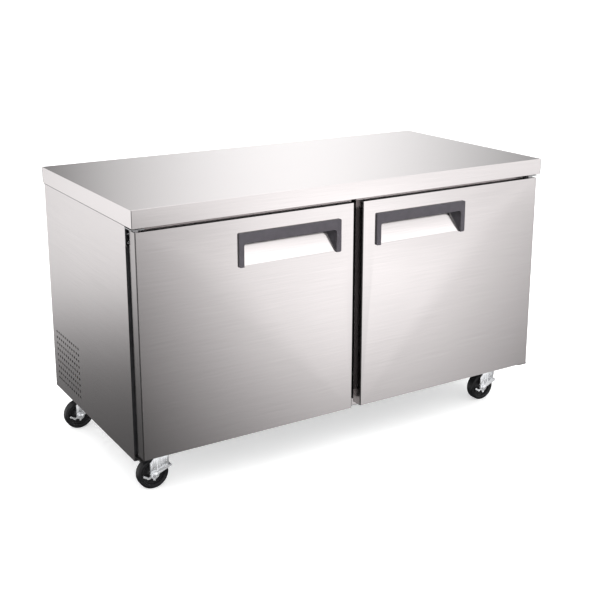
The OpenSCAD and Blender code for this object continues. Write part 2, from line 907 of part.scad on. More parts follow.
module door_foam() {
    difference() {
        slab(door_x0 + skin_t + air, door_x1 - skin_t - air, face_y + skin_t + air, skin_y1 - air,
             door_z0 + skin_t + air, door_z1 - skin_t - air);
        slab(handle_x0 - 1, handle_x1 + 1, face_y - eps, pocket_y1 + 1.5,
             handle_z0 - 2, handle_z1 + 2);
        hinge_sockets(air);
        rod_z(pin_x, pin_y, door_z0 - eps, door_z0 + pin_len + 3, pin_r + 1);
        rod_z(pin_x, pin_y, door_z1 - pin_len - 3, door_z1 + eps, pin_r + 1);
    }
}

module door_liner() {
    seal_x0 = pin_x + 2;
    seal_x1 = -21;
    inner_x0 = seal_x0 + seal_w + 4;
    inner_x1 = seal_x1 - seal_w - 4;
    z0 = door_z0 + 5 + seal_w + 4;
    z1 = door_z1 - 5 - seal_w - 4;
    slab(door_x0, door_x1, skin_y1, door_y1, door_z0, door_z1);
    difference() {
        slab(inner_x0, inner_x1, door_y1 - eps, door_y1 + 7, z0, z1);
        slab(inner_x0 + 30, inner_x1 - 30, door_y1, door_y1 + 8, z0 + 30, z1 - 30);
    }
}

module door_gasket() {
    x0 = pin_x + 2;
    x1 = -21;
    z0 = door_z0 + 5;
    z1 = door_z1 - 5;
    difference() {
        slab(x0, x1, door_y1, seal_y1, z0, z1);
        slab(x0 + seal_w, x1 - seal_w, door_y1 - eps, seal_y1 + eps, z0 + seal_w, z1 - seal_w);
    }
}

module handle_cheek() {
    intersection() {
        along_x(handle_x0 + 1.5, handle_x1 - 1.5) scoop_outline(0);
        slab(handle_x0, handle_x1, face_y + skin_t, pocket_y1, handle_z0, handle_z1 - 3);
        linear_extrude(overall_h) polygon([
            [handle_x0, face_y],
            [handle_x0 + leg_w, face_y],
            [handle_x0 + leg_w + cheek_splay, pocket_y1],
            [handle_x0, pocket_y1]
        ]);
    }
}

module door_handle() {
    middle = (handle_x0 + handle_x1) / 2;
    grip_back = face_y + skin_t + 4;
    difference() {
        union() {
            along_y(face_y - proud, face_y) rounded_rect(handle_x0, handle_x1, handle_z0, handle_z1, 4.5);
            along_y(face_y - eps, grip_back)
                rounded_rect(handle_x0 + 1.5, handle_x1 - 1.5, scoop_z + 1, handle_z1 - 3, 1);
        }
        along_y(face_y - 2 * proud, grip_back + eps)
            rounded_rect(handle_x0 + leg_w, handle_x1 - leg_w, handle_z0 - 60,
                         handle_z1 - grip_h, 10);
        along_x(handle_x0, handle_x1) difference() {
            translate([face_y, scoop_z - 10]) square([30, 60]);
            scoop_outline(0.1);
        }
    }
    handle_cheek();
    translate([2 * middle, 0, 0]) mirror([1, 0, 0]) handle_cheek();
}

module door_left_skin() {
    color("lightgray") door_skin();
}

module door_right_skin() {
    color("lightgray") on_side(RIGHT) door_skin();
}

module door_left_foam() {
    color("khaki") door_foam();
}

module door_right_foam() {
    color("khaki") on_side(RIGHT) door_foam();
}

module door_left_liner() {
    color("white") door_liner();
}

module door_right_liner() {
    color("white") on_side(RIGHT) door_liner();
}

module door_left_gasket() {
    color("black") door_gasket();
}

module door_right_gasket() {
    color("black") on_side(RIGHT) door_gasket();
}

module door_left_handle() {
    color([0.3, 0.31, 0.34]) door_handle();
}

module door_right_handle() {
    color([0.3, 0.31, 0.34]) on_side(RIGHT) door_handle();
}

// Casters, drawn about their own swivel axis

module caster_plates() {
    head_z = boss_z + 4;
    color("silver") for (stem = STEMS) difference() {
        translate([stem[0], stem[1], 0]) union() {
            slab(-plate_w / 2, plate_w / 2, -plate_d / 2, plate_d / 2, base_z - plate_t, base_z);
            rod_z(0, 0, boss_z, base_z - plate_t, 29);
        }
        translate([stem[0], stem[1], 0]) {
            rod_z(0, 0, boss_z - eps, head_z, king_r + fit);
            rod_z(0, 0, head_z, base_z - plate_t, 9.5);
            for (sx = [-1, 1], sy = [-1, 1])
                rod_z(sx * bolt_x, sy * bolt_y, base_z - plate_t - eps, base_z + eps, bolt_r + air);
        }
    }
}

module fork_leg_outline() {
    translate([-trail, axle_z]) circle(14);
    polygon([
        [-24, crown_z],
        [22, crown_z],
        [17, crown_z - 38],
        [-8, axle_z + 8],
        [14 - trail, axle_z],
        [-14 - trail, axle_z],
        [-14 - trail, crown_z - 24]
    ]);
}

module caster_fork(i) {
    head_r = 9.5;
    brake_end = fork_y + fork_t + 0.4 + brake_t + 0.2;
    color("gainsboro") translate([STEMS[i][0], STEMS[i][1], 0]) {
        rod_z(0, 0, crown_z - 4, crown_z, 28);
        slab(-22, 22, -fork_y - fork_t, fork_y + fork_t, crown_z - 4, crown_z);
        rod_z(0, 0, crown_z, boss_z + 4.1, king_r);
        rod_z(0, 0, boss_z + 4.1, boss_z + 7.5, 9);
        for (y = [-fork_y - fork_t, fork_y])
            along_y(y, y + fork_t) fork_leg_outline();
        rod_y(-trail, -brake_end - 3, fork_y + fork_t + 4, axle_z, axle_r);
        rod_y(-trail, -brake_end - 4, -brake_end, axle_z, head_r);
        translate([-trail, fork_y + fork_t + 5, axle_z]) rotate([90, 0, 0])
            cylinder(r = head_r, h = 5, $fn = 6);
    }
}

module caster_fork_front_left() {
    caster_fork(0);
}

module caster_fork_front_right() {
    caster_fork(1);
}

module caster_fork_rear_left() {
    caster_fork(2);
}

module caster_fork_rear_right() {
    caster_fork(3);
}

module wheel_outline() {
    tread_r = wheel_d / 2;
    round_r = 7;
    half = wheel_w / 2;
    translate([axle_r + fit, -half]) square([13, wheel_w]);
    translate([12, -8]) square([tread_r - 20, 16]);
    translate([tread_r - 15, -half]) square([15 - round_r, wheel_w]);
    translate([tread_r - 15, round_r - half]) square([15, wheel_w - 2 * round_r]);
    for (y = [round_r - half, half - round_r]) translate([tread_r - round_r, y]) circle(round_r);
}

module wheel(i) {
    color([0.1, 0.1, 0.1]) translate([STEMS[i][0] - trail, STEMS[i][1], axle_z])
        rotate([90, 0, 0]) rotate_extrude() wheel_outline();
}

module wheel_front_left() {
    wheel(0);
}

module wheel_front_right() {
    wheel(1);
}

module wheel_rear_left() {
    wheel(2);
}

module wheel_rear_right() {
    wheel(3);
}

// Brake lever: a ring on the axle's end, a forked wing, and an arm to the foot tab
module brake_outline() {
    wing = [-21, -8];
    circle(13);
    rotate(200) translate([0, -3]) square([22, 6]);
    translate(wing) circle(3.2);
    translate(wing) rotate(148) translate([0, -3]) square([20, 6]);
    rotate(262) translate([0, -3.5]) square([18, 7]);
    rotate(brake_rise) polygon([[0, -5], [44, -3], [59, -3], [59, 2], [46, 9], [18, 10], [8, 6]]);
}

module brake(i) {
    y1 = -fork_y - fork_t - 0.4;
    y0 = y1 - brake_t;
    color("gainsboro") translate([STEMS[i][0] - trail, STEMS[i][1], axle_z]) difference() {
        union() {
            along_y(y0, y1) brake_outline();
            rotate([0, -brake_rise, 0]) slab(52, 60, y0, 14, -2, 2);
        }
        rod_y(0, y0 - eps, y1 + eps, 0, axle_r + fit);
    }
}

module brake_front_left() {
    brake(0);
}

module brake_front_right() {
    brake(1);
}

module brake_rear_left() {
    brake(2);
}

module brake_rear_right() {
    brake(3);
}

worktop();
worktop_core();
side_panel_left();
side_panel_right();
back_panel();
rear_grille();
base_pan();
cabinet_insulation();
inner_liner();
front_frame();
centre_mullion();
hinge_brackets();
fasteners();
shelf_standards();
shelf_clips();
shelf_upper_left();
shelf_upper_right();
shelf_lower_left();
shelf_lower_right();
evaporator_cover();
evaporator_coil();
evaporator_fan_left();
evaporator_fan_right();
evaporator_fan_motors();
evaporator_drain_pan();
thermostat();
thermostat_knob();
unit_tray();
compressor();
condenser_coil();
condenser_fan();
condenser_fan_motor();
refrigerant_lines();
filter_drier();
electrical_box();
condensate_pan();
power_inlet();
door_left_skin();
door_left_foam();
door_left_liner();
door_left_gasket();
door_left_handle();
door_right_skin();
door_right_foam();
door_right_liner();
door_right_gasket();
door_right_handle();
caster_plates();
caster_fork_front_left();
caster_fork_front_right();
caster_fork_rear_left();
caster_fork_rear_right();
wheel_front_left();
wheel_front_right();
wheel_rear_left();
wheel_rear_right();
brake_front_left();
brake_front_right();
brake_rear_left();
brake_rear_right();
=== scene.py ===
"""Looks of the two-door undercounter refrigerator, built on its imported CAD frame.

Blender lengths are in metres. Meshes are drawn in millimetres and scaled when they become pieces.
"""
import json
from math import atan2, cos, pi, radians, sin, tan

import bmesh
import bpy
from mathutils import Matrix, Vector


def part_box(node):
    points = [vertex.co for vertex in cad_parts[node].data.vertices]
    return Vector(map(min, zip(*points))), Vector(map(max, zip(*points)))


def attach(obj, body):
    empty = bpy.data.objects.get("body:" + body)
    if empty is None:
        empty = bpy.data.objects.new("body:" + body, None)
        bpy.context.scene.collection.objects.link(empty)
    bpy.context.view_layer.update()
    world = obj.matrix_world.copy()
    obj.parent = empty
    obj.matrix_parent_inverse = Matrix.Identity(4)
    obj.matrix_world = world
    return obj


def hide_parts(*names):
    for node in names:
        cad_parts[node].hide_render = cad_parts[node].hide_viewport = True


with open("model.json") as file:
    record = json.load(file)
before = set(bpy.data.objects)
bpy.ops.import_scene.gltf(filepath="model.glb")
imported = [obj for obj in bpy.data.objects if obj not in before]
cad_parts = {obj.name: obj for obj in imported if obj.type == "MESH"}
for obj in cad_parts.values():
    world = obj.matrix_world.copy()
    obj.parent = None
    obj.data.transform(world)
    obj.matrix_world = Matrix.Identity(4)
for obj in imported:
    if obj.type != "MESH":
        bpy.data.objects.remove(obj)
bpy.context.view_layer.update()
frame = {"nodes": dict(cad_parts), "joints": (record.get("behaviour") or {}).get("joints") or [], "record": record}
NODES = frame["nodes"]
RECORD = frame["record"]
BODY_OF = {n: body for body, nodes in RECORD["behaviour"]["bodies"].items() for n in nodes}
SLOT_OF = {part["node"]: part["material_slot"] for part in RECORD["subparts"]}
MM = 0.001
WELD = 0.003          # vertices this close, in millimetres, are one


# ---------------------------------------------------------------- materials

def add(tree, kind, inputs=None, **settings):
    """Adds a node, sets it, and links or fills its inputs."""
    made = tree.nodes.new(kind)
    for key, value in settings.items():
        setattr(made, key, value)
    for key, value in (inputs or {}).items():
        if isinstance(value, bpy.types.NodeSocket):
            tree.links.new(value, made.inputs[key])
        else:
            made.inputs[key].default_value = value
    return made


def noise_at(tree, scale, detail=3.0, stretch=(1, 1, 1), roughness=0.5):
    """Noise in the object's own coordinates, which are the row frame's."""
    where = add(tree, "ShaderNodeTexCoord")
    spread = add(tree, "ShaderNodeMapping", {"Vector": where.outputs["Object"], "Scale": stretch})
    made = add(tree, "ShaderNodeTexNoise", {
        "Vector": spread.outputs[0], "Scale": scale, "Detail": detail, "Roughness": roughness})
    return made.outputs["Fac"]


def between(tree, fac, low, high, from_low=0.3, from_high=0.7):
    """Maps a pattern onto a range of values."""
    made = add(tree, "ShaderNodeMapRange", {
        "Value": fac, "From Min": from_low, "From Max": from_high, "To Min": low, "To Max": high})
    return made.outputs["Result"]


def tint(tree, fac, dark, light, low=0.3, high=0.7):
    """Maps a pattern onto two colours."""
    ramp = add(tree, "ShaderNodeValToRGB", {"Fac": fac})
    for stop, at, colour in zip(ramp.color_ramp.elements, (low, high), (dark, light)):
        stop.position = at
        stop.color = (*colour, 1)
    return ramp.outputs["Color"]


def raised(tree, height, depth, distance=MM):
    """Bump from a pattern."""
    made = add(tree, "ShaderNodeBump", {"Height": height, "Strength": depth, "Distance": distance})
    return made.outputs["Normal"]


def new_surface(name):
    made = bpy.data.materials.new(name)
    made.use_nodes = True
    return made, made.node_tree, made.node_tree.nodes["Principled BSDF"]


def wire(tree, shader, **inputs):
    for key, value in inputs.items():
        socket = shader.inputs[key.replace("_", " ")]
        if isinstance(value, bpy.types.NodeSocket):
            tree.links.new(value, socket)
        else:
            socket.default_value = value


def brushed(name, stretch, colour=(0.712, 0.674, 0.674), rough=0.15):
    """Stainless steel with a fine straight grain."""
    made, tree, shader = new_surface(name)
    grain = noise_at(tree, 1.0, 4.0, stretch, 0.6)
    cloud = noise_at(tree, 3.0, 2.0)
    light = [min(1, c * 1.035) for c in colour]
    dark = [c * 0.965 for c in colour]
    wire(tree, shader, Metallic=1.0,
         Base_Color=tint(tree, grain, dark, light),
         Roughness=between(tree, cloud, rough - 0.012, rough + 0.012),
         Normal=raised(tree, grain, 0.02, 0.2 * MM))
    return made


def mottled(name, dark, light, scale, rough, metallic=0.0, bump=0.1, gloss=0.5, bump_scale=600.0):
    """A paint, plating or plastic with a faint mottle and a fine surface."""
    made, tree, shader = new_surface(name)
    wire(tree, shader, Metallic=metallic, Specular_IOR_Level=gloss,
         Base_Color=tint(tree, noise_at(tree, scale), dark, light),
         Roughness=between(tree, noise_at(tree, scale * 2.3), rough - 0.04, rough + 0.04),
         Normal=raised(tree, noise_at(tree, bump_scale, 2.0), bump, 0.15 * MM))
    return made


def spangled(name, dark, light, cell=90.0):
    """Galvanised sheet: zinc crystals of slightly different greys."""
    made, tree, shader = new_surface(name)
    where = add(tree, "ShaderNodeTexCoord")
    cells = add(tree, "ShaderNodeTexVoronoi", {"Vector": where.outputs["Object"], "Scale": cell})
    grey = add(tree, "ShaderNodeRGBToBW", {"Color": cells.outputs["Color"]})
    wire(tree, shader, Metallic=0.9,
         Base_Color=tint(tree, grey.outputs[0], dark, light, 0.2, 0.8),
         Roughness=between(tree, grey.outputs[0], 0.34, 0.46, 0, 1),
         Normal=raised(tree, noise_at(tree, 400.0), 0.05, 0.1 * MM))
    return made


def cellular(name, dark, light):
    """Rigid foam."""
    made, tree, shader = new_surface(name)
    where = add(tree, "ShaderNodeTexCoord")
    cells = add(tree, "ShaderNodeTexVoronoi", {"Vector": where.outputs["Object"], "Scale": 700.0})
    wire(tree, shader,
         Base_Color=tint(tree, noise_at(tree, 25.0), dark, light),
         Roughness=between(tree, noise_at(tree, 60.0), 0.84, 0.96),
         Normal=raised(tree, cells.outputs["Distance"], 0.5, 0.5 * MM))
    return made


def make_surfaces():
    """Each surface's maker with its settings, made under its own name."""
    upright = (5, 5, 420)
    recipes = {
        "stainless": (brushed, upright),
        # painted light: a lighter copy of the door steel for the worktop, standing in for light falling on the top
        "stainless_top": (brushed, (5, 420, 420), (0.776, 0.735, 0.735)),
        # painted shade: darker copies of the door steel for the doors' side faces and upright bends, in the shade
        # of the door gaps
        "stainless_edge": (brushed, upright, (0.47, 0.445, 0.445), 0.2),
        "stainless_bend": (brushed, upright, (0.15, 0.142, 0.142), 0.25),
        # painted shade: a dark copy of the door steel for the middle post, in the shade between the doors
        "post_steel": (brushed, upright, (0.2, 0.19, 0.192), 0.25),
        "lining": (brushed, upright, (0.80, 0.81, 0.82), 0.3),
        "rail_steel": (brushed, (300, 300, 5), (0.72, 0.73, 0.74), 0.28),
        "fins": (brushed, (5, 5, 300), (0.74, 0.75, 0.76), 0.35),
        "galvanised": (spangled, (0.50, 0.52, 0.53), (0.66, 0.68, 0.69)),
        "foam": (cellular, (0.78, 0.66, 0.40), (0.88, 0.78, 0.54)),
        # mottled: dark, light, scale, rough, metallic, bump, gloss, bump_scale
        "zinc": (mottled, (0.86, 0.87, 0.89), (0.94, 0.95, 0.97), 40, 0.24, 0.75, 0.05),
        "hinge_steel": (mottled, (0.34, 0.34, 0.35), (0.44, 0.44, 0.45), 40, 0.26, 1.0, 0.05),
        # painted shade: a near-black copy of hinge_steel for the lower hinge leaves, the hinge legs and the front
        # screws
        "hinge_dark": (mottled, (0.05, 0.05, 0.052), (0.08, 0.08, 0.083), 40, 0.35, 1.0, 0.05),
        "shelf_wire": (mottled, (0.84, 0.84, 0.82), (0.9, 0.9, 0.88), 30, 0.4),
        "white_panel": (mottled, (0.82, 0.83, 0.83), (0.88, 0.89, 0.89), 12, 0.42),
        "white_plastic": (mottled, (0.80, 0.80, 0.78), (0.86, 0.86, 0.84), 9, 0.4),
        "black_plastic": (mottled, (0.016, 0.016, 0.018), (0.026, 0.026, 0.029), 25, 0.42),
        "fan_plastic": (mottled, (0.012, 0.012, 0.013), (0.022, 0.022, 0.024), 30, 0.5),
        "handle_plastic": (mottled, (0.056, 0.050, 0.060), (0.067, 0.060, 0.072), 45, 0.42,
                           0.0, 0.25, 0.5, 1500.0),
        # painted shade: a darker copy of the grip's plastic for its flanks and underside
        "handle_flank": (mottled, (0.022, 0.019, 0.024), (0.03, 0.027, 0.033), 45, 0.4, 0.0, 0.1, 0.35),
        "seal": (mottled, (0.010, 0.010, 0.011), (0.02, 0.02, 0.022), 30, 0.7, 0.0, 0.1, 0.2),
        "wheel_black": (mottled, (0.006, 0.006, 0.007), (0.012, 0.012, 0.013), 60, 0.36,
                        0.0, 0.1, 0.22),
        "wheel_core": (mottled, (0.008, 0.008, 0.009), (0.015, 0.015, 0.016), 60, 0.25, 0.0, 0.1, 0.3),
        "motor_enamel": (mottled, (0.05, 0.053, 0.056), (0.07, 0.073, 0.077), 20, 0.4),
        "box_enamel": (mottled, (0.30, 0.32, 0.34), (0.36, 0.38, 0.4), 15, 0.45),
        "compressor_enamel": (mottled, (0.012, 0.012, 0.014), (0.02, 0.02, 0.022), 14, 0.2,
                              0.0, 0.15, 0.5, 250.0),
        "copper": (mottled, (0.62, 0.27, 0.15), (0.8, 0.42, 0.26), 60, 0.3, 1.0),
    }
    return {name: make(name, *settings) for name, (make, *settings) in recipes.items()}


SURFACES = make_surfaces()


# ---------------------------------------------------------------- mesh helpers, in millimetres

AXES = {
    "X": Matrix(((0, 0, 1), (0, 1, 0), (-1, 0, 0))).to_4x4(),
    "Y": Matrix(((1, 0, 0), (0, 0, 1), (0, -1, 0))).to_4x4(),
    "Z": Matrix.Identity(4),
}


def box_mm(node):
    """Lowest and highest corner of a CAD node, in millimetres."""
    low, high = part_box(node)
    return low / MM, high / MM


def fan_hub(node):
    """Where a fan's shaft crosses the middle of its blades, in millimetres, and its tip radius."""
    joint = next(j for j in frame["joints"] if j["child"] == BODY_OF[node])
    along_shaft = max(range(3), key=lambda i: abs(joint["axis"][i]))
    hub = Vector(joint["pos_m"]) / MM
    low, high = box_mm(node)
    hub[along_shaft] = (low[along_shaft] + high[along_shaft]) / 2
    tip = 0.0
    for vert in NODES[node].data.vertices:
        reach = vert.co / MM - hub
        reach[along_shaft] = 0
        tip = max(tip, reach.length)
    return hub, tip


def along(axis, centre):
    """Placement of a shape drawn about Z, with its axis turned to point along that axis."""
    return Matrix.Translation(Vector(centre)) @ AXES[axis]


def rounded(points, bend, steps=6):
    """A line of points with each inner corner turned into an arc."""
    points = [Vector(p) for p in points]
    made = [points[0]]
    for before, corner, after in zip(points, points[1:], points[2:]):
        back, on = (before - corner).normalized(), (after - corner).normalized()
        half = back.angle(on) / 2
        if half > radians(88):
            made.append(corner)
            continue
        reach = min(bend, 0.49 * min((before - corner).length, (after - corner).length) * tan(half))
        centre = corner + (back + on).normalized() * (reach / sin(half))
        start = corner + back * (reach / tan(half)) - centre
        end = corner + on * (reach / tan(half)) - centre
        for i in range(steps + 1):
            made.append(centre + start.slerp(end, i / steps) * reach if reach else corner)
    made.append(points[-1])
    return made


def polygon(sides, radius, x=0.0, y=0.0, turn=0.0):
    """Outline of a regular polygon round a point."""
    return [(x + radius * cos(turn + 2 * pi * i / sides),
             y + radius * sin(turn + 2 * pi * i / sides)) for i in range(sides)]


def round_cornered(x0, x1, y0, y1, bend, steps=6):
    """Outline of a rectangle with round corners."""
    made = []
    for x, y, start in ((x1 - bend, y1 - bend, 0), (x0 + bend, y1 - bend, 90),
                        (x0 + bend, y0 + bend, 180), (x1 - bend, y0 + bend, 270)):
        for i in range(steps + 1):
            angle = radians(start + 90 * i / steps)
            made.append((x + bend * cos(angle), y + bend * sin(angle)))
    return made


def capsule(start, end, radius, steps=6):
    """Outline of a bar with round ends."""
    a, b = Vector(start), Vector(end)
    turn = atan2(b.y - a.y, b.x - a.x)
    made = []
    for centre, first in ((b, turn - pi / 2), (a, turn + pi / 2)):
        for i in range(steps + 1):
            angle = first + pi * i / steps
            made.append((centre.x + radius * cos(angle), centre.y + radius * sin(angle)))
    return made


class Shape:
    """A mesh under construction."""

    def __init__(self):
        self.bm = bmesh.new()

    def _verts(self, points, place=None):
        if place is not None:
            points = [place @ Vector(p) for p in points]
        return [self.bm.verts.new(p) for p in points]

    def _faces(self, faces, paint):
        for corners in faces:
            corners = tuple(dict.fromkeys(corners))
            if len(corners) > 2:
                self.bm.faces.new(corners).material_index = paint

    def _band(self, loops, paint, closed=False):
        """Faces between neighbouring loops of vertices, and between last and first if closed."""
        count = len(loops[0])
        for a, b in zip(loops, loops[1:] + (loops[:1] if closed else [])):
            self._faces([(a[i], a[(i + 1) % count], b[(i + 1) % count], b[i])
                         for i in range(count)], paint)

    def round_off(self, edges, width, segments=2, paint=0):
        done = bmesh.ops.bevel(self.bm, geom=edges, offset=width, offset_type="OFFSET",
                               segments=segments, profile=0.5, affect="EDGES", clamp_overlap=True)
        for face in done["faces"]:
            face.material_index = paint

    def prism(self, outline, low, high, place=None, bevel=0.0, segments=2, paint=0):
        """Outline in X and Y, pushed from low to high along Z."""
        base = self._verts([(x, y, low) for x, y in outline], place)
        top = self._verts([(x, y, high) for x, y in outline], place)
        self._faces([base[::-1], top], paint)
        self._band([base, top], paint)
        if bevel:
            rims = {e for v in base + top for e in v.link_edges}
            self.round_off(list(rims), bevel, segments, paint)

    def box(self, low, high, bevel=0.5, segments=2, paint=0):
        (x0, y0, z0), (x1, y1, z1) = low, high
        self.prism([(x0, y0), (x1, y0), (x1, y1), (x0, y1)], z0, z1, None, bevel, segments, paint)

    def lathe(self, profile, place=None, sides=48, closed=False, paint=0, radius=None):
        """Turns (radius, height) points about Z. radius(angle, r) can shape the section."""
        rings = []
        for r, h in profile:
            if r < 1e-6:
                rings.append(self._verts([(0, 0, h)], place) * sides)
                continue
            turn = [2 * pi * i / sides for i in range(sides)]
            shaped = [radius(a, r) if radius else r for a in turn]
            rings.append(self._verts([(q * cos(a), q * sin(a), h)
                                      for q, a in zip(shaped, turn)], place))
        self._band(rings, paint, closed)

    def tube(self, points, radius, sides=12, bend=0.0, closed=False, paint=0):
        """Round bar through the points, with flat ends."""
        line = rounded(points, bend) if bend else [Vector(p) for p in points]
        count = len(line)
        normal = None
        rings = []
        for i, point in enumerate(line):
            before = line[i - 1] if (i or closed) else point
            after = line[(i + 1) % count] if (i < count - 1 or closed) else point
            ahead = (after - before).normalized()
            if normal is None:
                normal = ahead.orthogonal().normalized()
            normal = (normal - ahead * normal.dot(ahead)).normalized()
            side = ahead.cross(normal)
            rings.append([self.bm.verts.new(point + radius * (
                normal * cos(2 * pi * k / sides) + side * sin(2 * pi * k / sides)))
                for k in range(sides)])
        self._band(rings, paint, closed)
        if not closed:
            self._faces([rings[0][::-1], rings[-1]], paint)

    def surround(self, x0, x1, z0, z1, profile, paint=0):
        """Closed profile of (inset, y) points, led round a rectangle with mitred corners."""
        loops = [self._verts([(x0 + u, y, z0 + u), (x1 - u, y, z0 + u),
                              (x1 - u, y, z1 - u), (x0 + u, y, z1 - u)]) for u, y in profile]
        self._band(loops, paint, True)

    def border(self, outer, inner, y0, y1, paint=0):
        """Flat rim between two rectangles, each (x0, x1, z0, z1)."""
        loops = [self._verts([(x0, y, z0), (x1, y, z0), (x1, y, z1), (x0, y, z1)])
                 for (x0, x1, z0, z1), y in ((outer, y0), (inner, y0), (inner, y1), (outer, y1))]
        self._band(loops, paint, True)

    def strip(self, near, far, paint=0):
        """Closed sheet between two equal grids of points."""
        sides = [[self._verts(row) for row in grid] for grid in (near, far)]
        last, end = len(near) - 1, len(near[0]) - 1
        for grid in sides:
            self._faces([(grid[i][j], grid[i][j + 1], grid[i + 1][j + 1], grid[i + 1][j])
                         for i in range(last) for j in range(end)], paint)
        rim = [(0, j) for j in range(end)] + [(i, end) for i in range(last)]
        rim += [(last, end - j) for j in range(end)] + [(last - i, 0) for i in range(last)]
        a, b = sides
        for (i, j), (k, m) in zip(rim, rim[1:] + rim[:1]):
            self._faces([(a[i][j], a[k][m], b[k][m], b[i][j])], paint)

    def holed_plate(self, y0, y1, z0, z1, centre, radius, x0, x1, paint=0):
        """Plate across X with a round opening."""
        sides = 48
        corners = {round(atan2(z - centre[1], y - centre[0]) / (2 * pi / sides)) % sides: (y, z)
                   for y in (y0, y1) for z in (z0, z1)}
        inner, outer = [], []
        for i in range(sides):
            dy, dz = cos(2 * pi * i / sides), sin(2 * pi * i / sides)
            inner.append((centre[0] + radius * dy, centre[1] + radius * dz))
            reach = min(((y1 if dy > 0 else y0) - centre[0]) / dy if abs(dy) > 1e-9 else 1e9,
                        ((z1 if dz > 0 else z0) - centre[1]) / dz if abs(dz) > 1e-9 else 1e9)
            outer.append(corners.get(i, (centre[0] + reach * dy, centre[1] + reach * dz)))
        rings = [self._verts([(x, y, z) for y, z in loop])
                 for x, loop in ((x0, inner), (x0, outer), (x1, outer), (x1, inner))]
        self._band(rings, paint, True)

    def repaint(self, paint, chosen):
        """Gives a surface to every face that chosen(normal, middle) picks."""
        self.bm.normal_update()
        for face in self.bm.faces:
            if chosen(face.normal, face.calc_center_median()):
                face.material_index = paint

    def screw_head(self, place, radius=4.5, height=2.0, paint=0):
        """Pan head with a cross recess, its top facing +Z."""
        sides, slot, reach, deep = 24, 0.11 * radius, 0.55 * radius, 0.5 * height
        rings = [self._verts([(x, y, up * height) for x, y in polygon(
            sides, share * radius, turn=pi / sides)], place)
            for share, up in ((1, 0), (1, 0.45), (0.93, 0.8), (0.78, 1))]
        self._band(rings, paint)
        cross = [(slot, slot), (reach, slot), (reach, -slot), (slot, -slot), (slot, -reach)]
        cross += [(-slot, -reach), (-slot, -slot), (-reach, -slot), (-reach, slot), (-slot, slot)]
        cross += [(-slot, reach), (slot, reach)]
        rim = self._verts([(x, y, height) for x, y in cross], place)
        floor = self._verts([(x, y, height - deep) for x, y in cross], place)
        self._band([rim, floor], paint)
        self._faces([floor], paint)
        edges = [self.bm.edges.get(ends) for loop in (rings[-1], rim)
                 for ends in zip(loop, loop[1:] + loop[:1])]
        bmesh.ops.triangle_fill(self.bm, edges=edges, use_beauty=True)

    def piece(self, name, body, slot, replaces=(), angle=38, surfaces=(), weighted=False):
        """Turns the shape into a named piece, in metres, that rides on a body."""
        bmesh.ops.recalc_face_normals(self.bm, faces=self.bm.faces)
        bmesh.ops.scale(self.bm, vec=(MM, MM, MM), verts=self.bm.verts)
        data = bpy.data.meshes.new(name)
        self.bm.to_mesh(data)
        self.bm.free()
        data.polygons.foreach_set("use_smooth", [True] * len(data.polygons))
        data.set_sharp_from_angle(angle=radians(angle))
        for surface in surfaces or (slot,):
            data.materials.append(SURFACES[surface])
        made = placed(name, data)
        if weighted:
            made.modifiers.new("normals", "WEIGHTED_NORMAL").keep_sharp = True
        if replaces:
            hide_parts(*replaces)
        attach(made, body)


def placed(name, data):
    """A new object in the scene."""
    made = bpy.data.objects.new(name, data)
    bpy.context.scene.collection.objects.link(made)
    return made


def softened(node, width, segments=2, least=25):
    """The CAD node's own shape with its sharp edges rounded."""
    shape = Shape()
    bm = shape.bm
    bm.from_mesh(NODES[node].data)
    bmesh.ops.scale(bm, vec=(1 / MM,) * 3, verts=bm.verts)
    bmesh.ops.remove_doubles(bm, verts=bm.verts, dist=WELD)
    bmesh.ops.dissolve_limit(bm, angle_limit=radians(0.4), verts=bm.verts, edges=bm.edges)
    sharp = [e for e in bm.edges if len(e.link_faces) == 2
             and e.calc_face_angle(0) > radians(least)]
    shape.round_off(sharp, width, segments)
    return shape


def stand_in(shape, node, name, **extra):
    """Shows the shape in its CAD node's place."""
    shape.piece(name, BODY_OF[node], SLOT_OF[node], [node], **extra)


def rounded_copy(node, name, width, segments=2, surfaces=()):
    """Shows the CAD node's own shape, with its sharp edges rounded, in its place."""
    stand_in(softened(node, width, segments), node, name, surfaces=surfaces, weighted=True)


def wall(shape, outline, y0, y1, **extra):
    """Outline in X and Z, pushed along Y."""
    shape.prism([(x, -z) for x, z in outline], y0, y1, AXES["Y"], **extra)


# ---------------------------------------------------------------- pieces

SIDES = ("left", "right")
CORNERS = ("front_left", "front_right", "rear_left", "rear_right")


def sheet_metal():
    # the worktop gets the lighter copy of the steel: painted light
    rounded_copy("worktop", "worktop_pan", 1.2, 3, ("stainless_top",))
    # the middle post is painted dark as shade of the gap between the doors
    rounded_copy("centre_mullion", "middle_post", 0.4, surfaces=("post_steel",))
    for node, name, width in (
            ("front_frame", "door_frame", 0.4), ("unit_tray", "unit_base", 0.4),
            ("shelf_clips", "shelf_hooks", 0.4), ("shelf_standards", "slotted_rails", 0.3),
            ("side_panel_left", "left_side", 0.4), ("side_panel_right", "right_side", 0.4),
            ("evaporator_cover", "coil_housing", 0.4), ("evaporator_drain_pan", "drip_tray", 0.3),
            ("condensate_pan", "waste_pan", 0.6), ("caster_plates", "caster_tops", 0.6)):
        rounded_copy(node, name, width)


def hinges():
    """Upper leaves in plain steel; lower leaves and the legs on the cabinet's face painted near black, as painted
    shade.
    """
    shape = softened("hinge_brackets", 0.5)
    low, high = box_mm("hinge_brackets")
    middle, leg = (low.z + high.z) / 2, high.y - 3.5
    # lower leaves and the legs on the cabinet's face get painted shade
    shape.repaint(1, lambda normal, at: at.z < middle or at.y > leg)
    stand_in(shape, "hinge_brackets", "hinge_leaves", weighted=True,
             surfaces=("hinge_steel", "hinge_dark"))


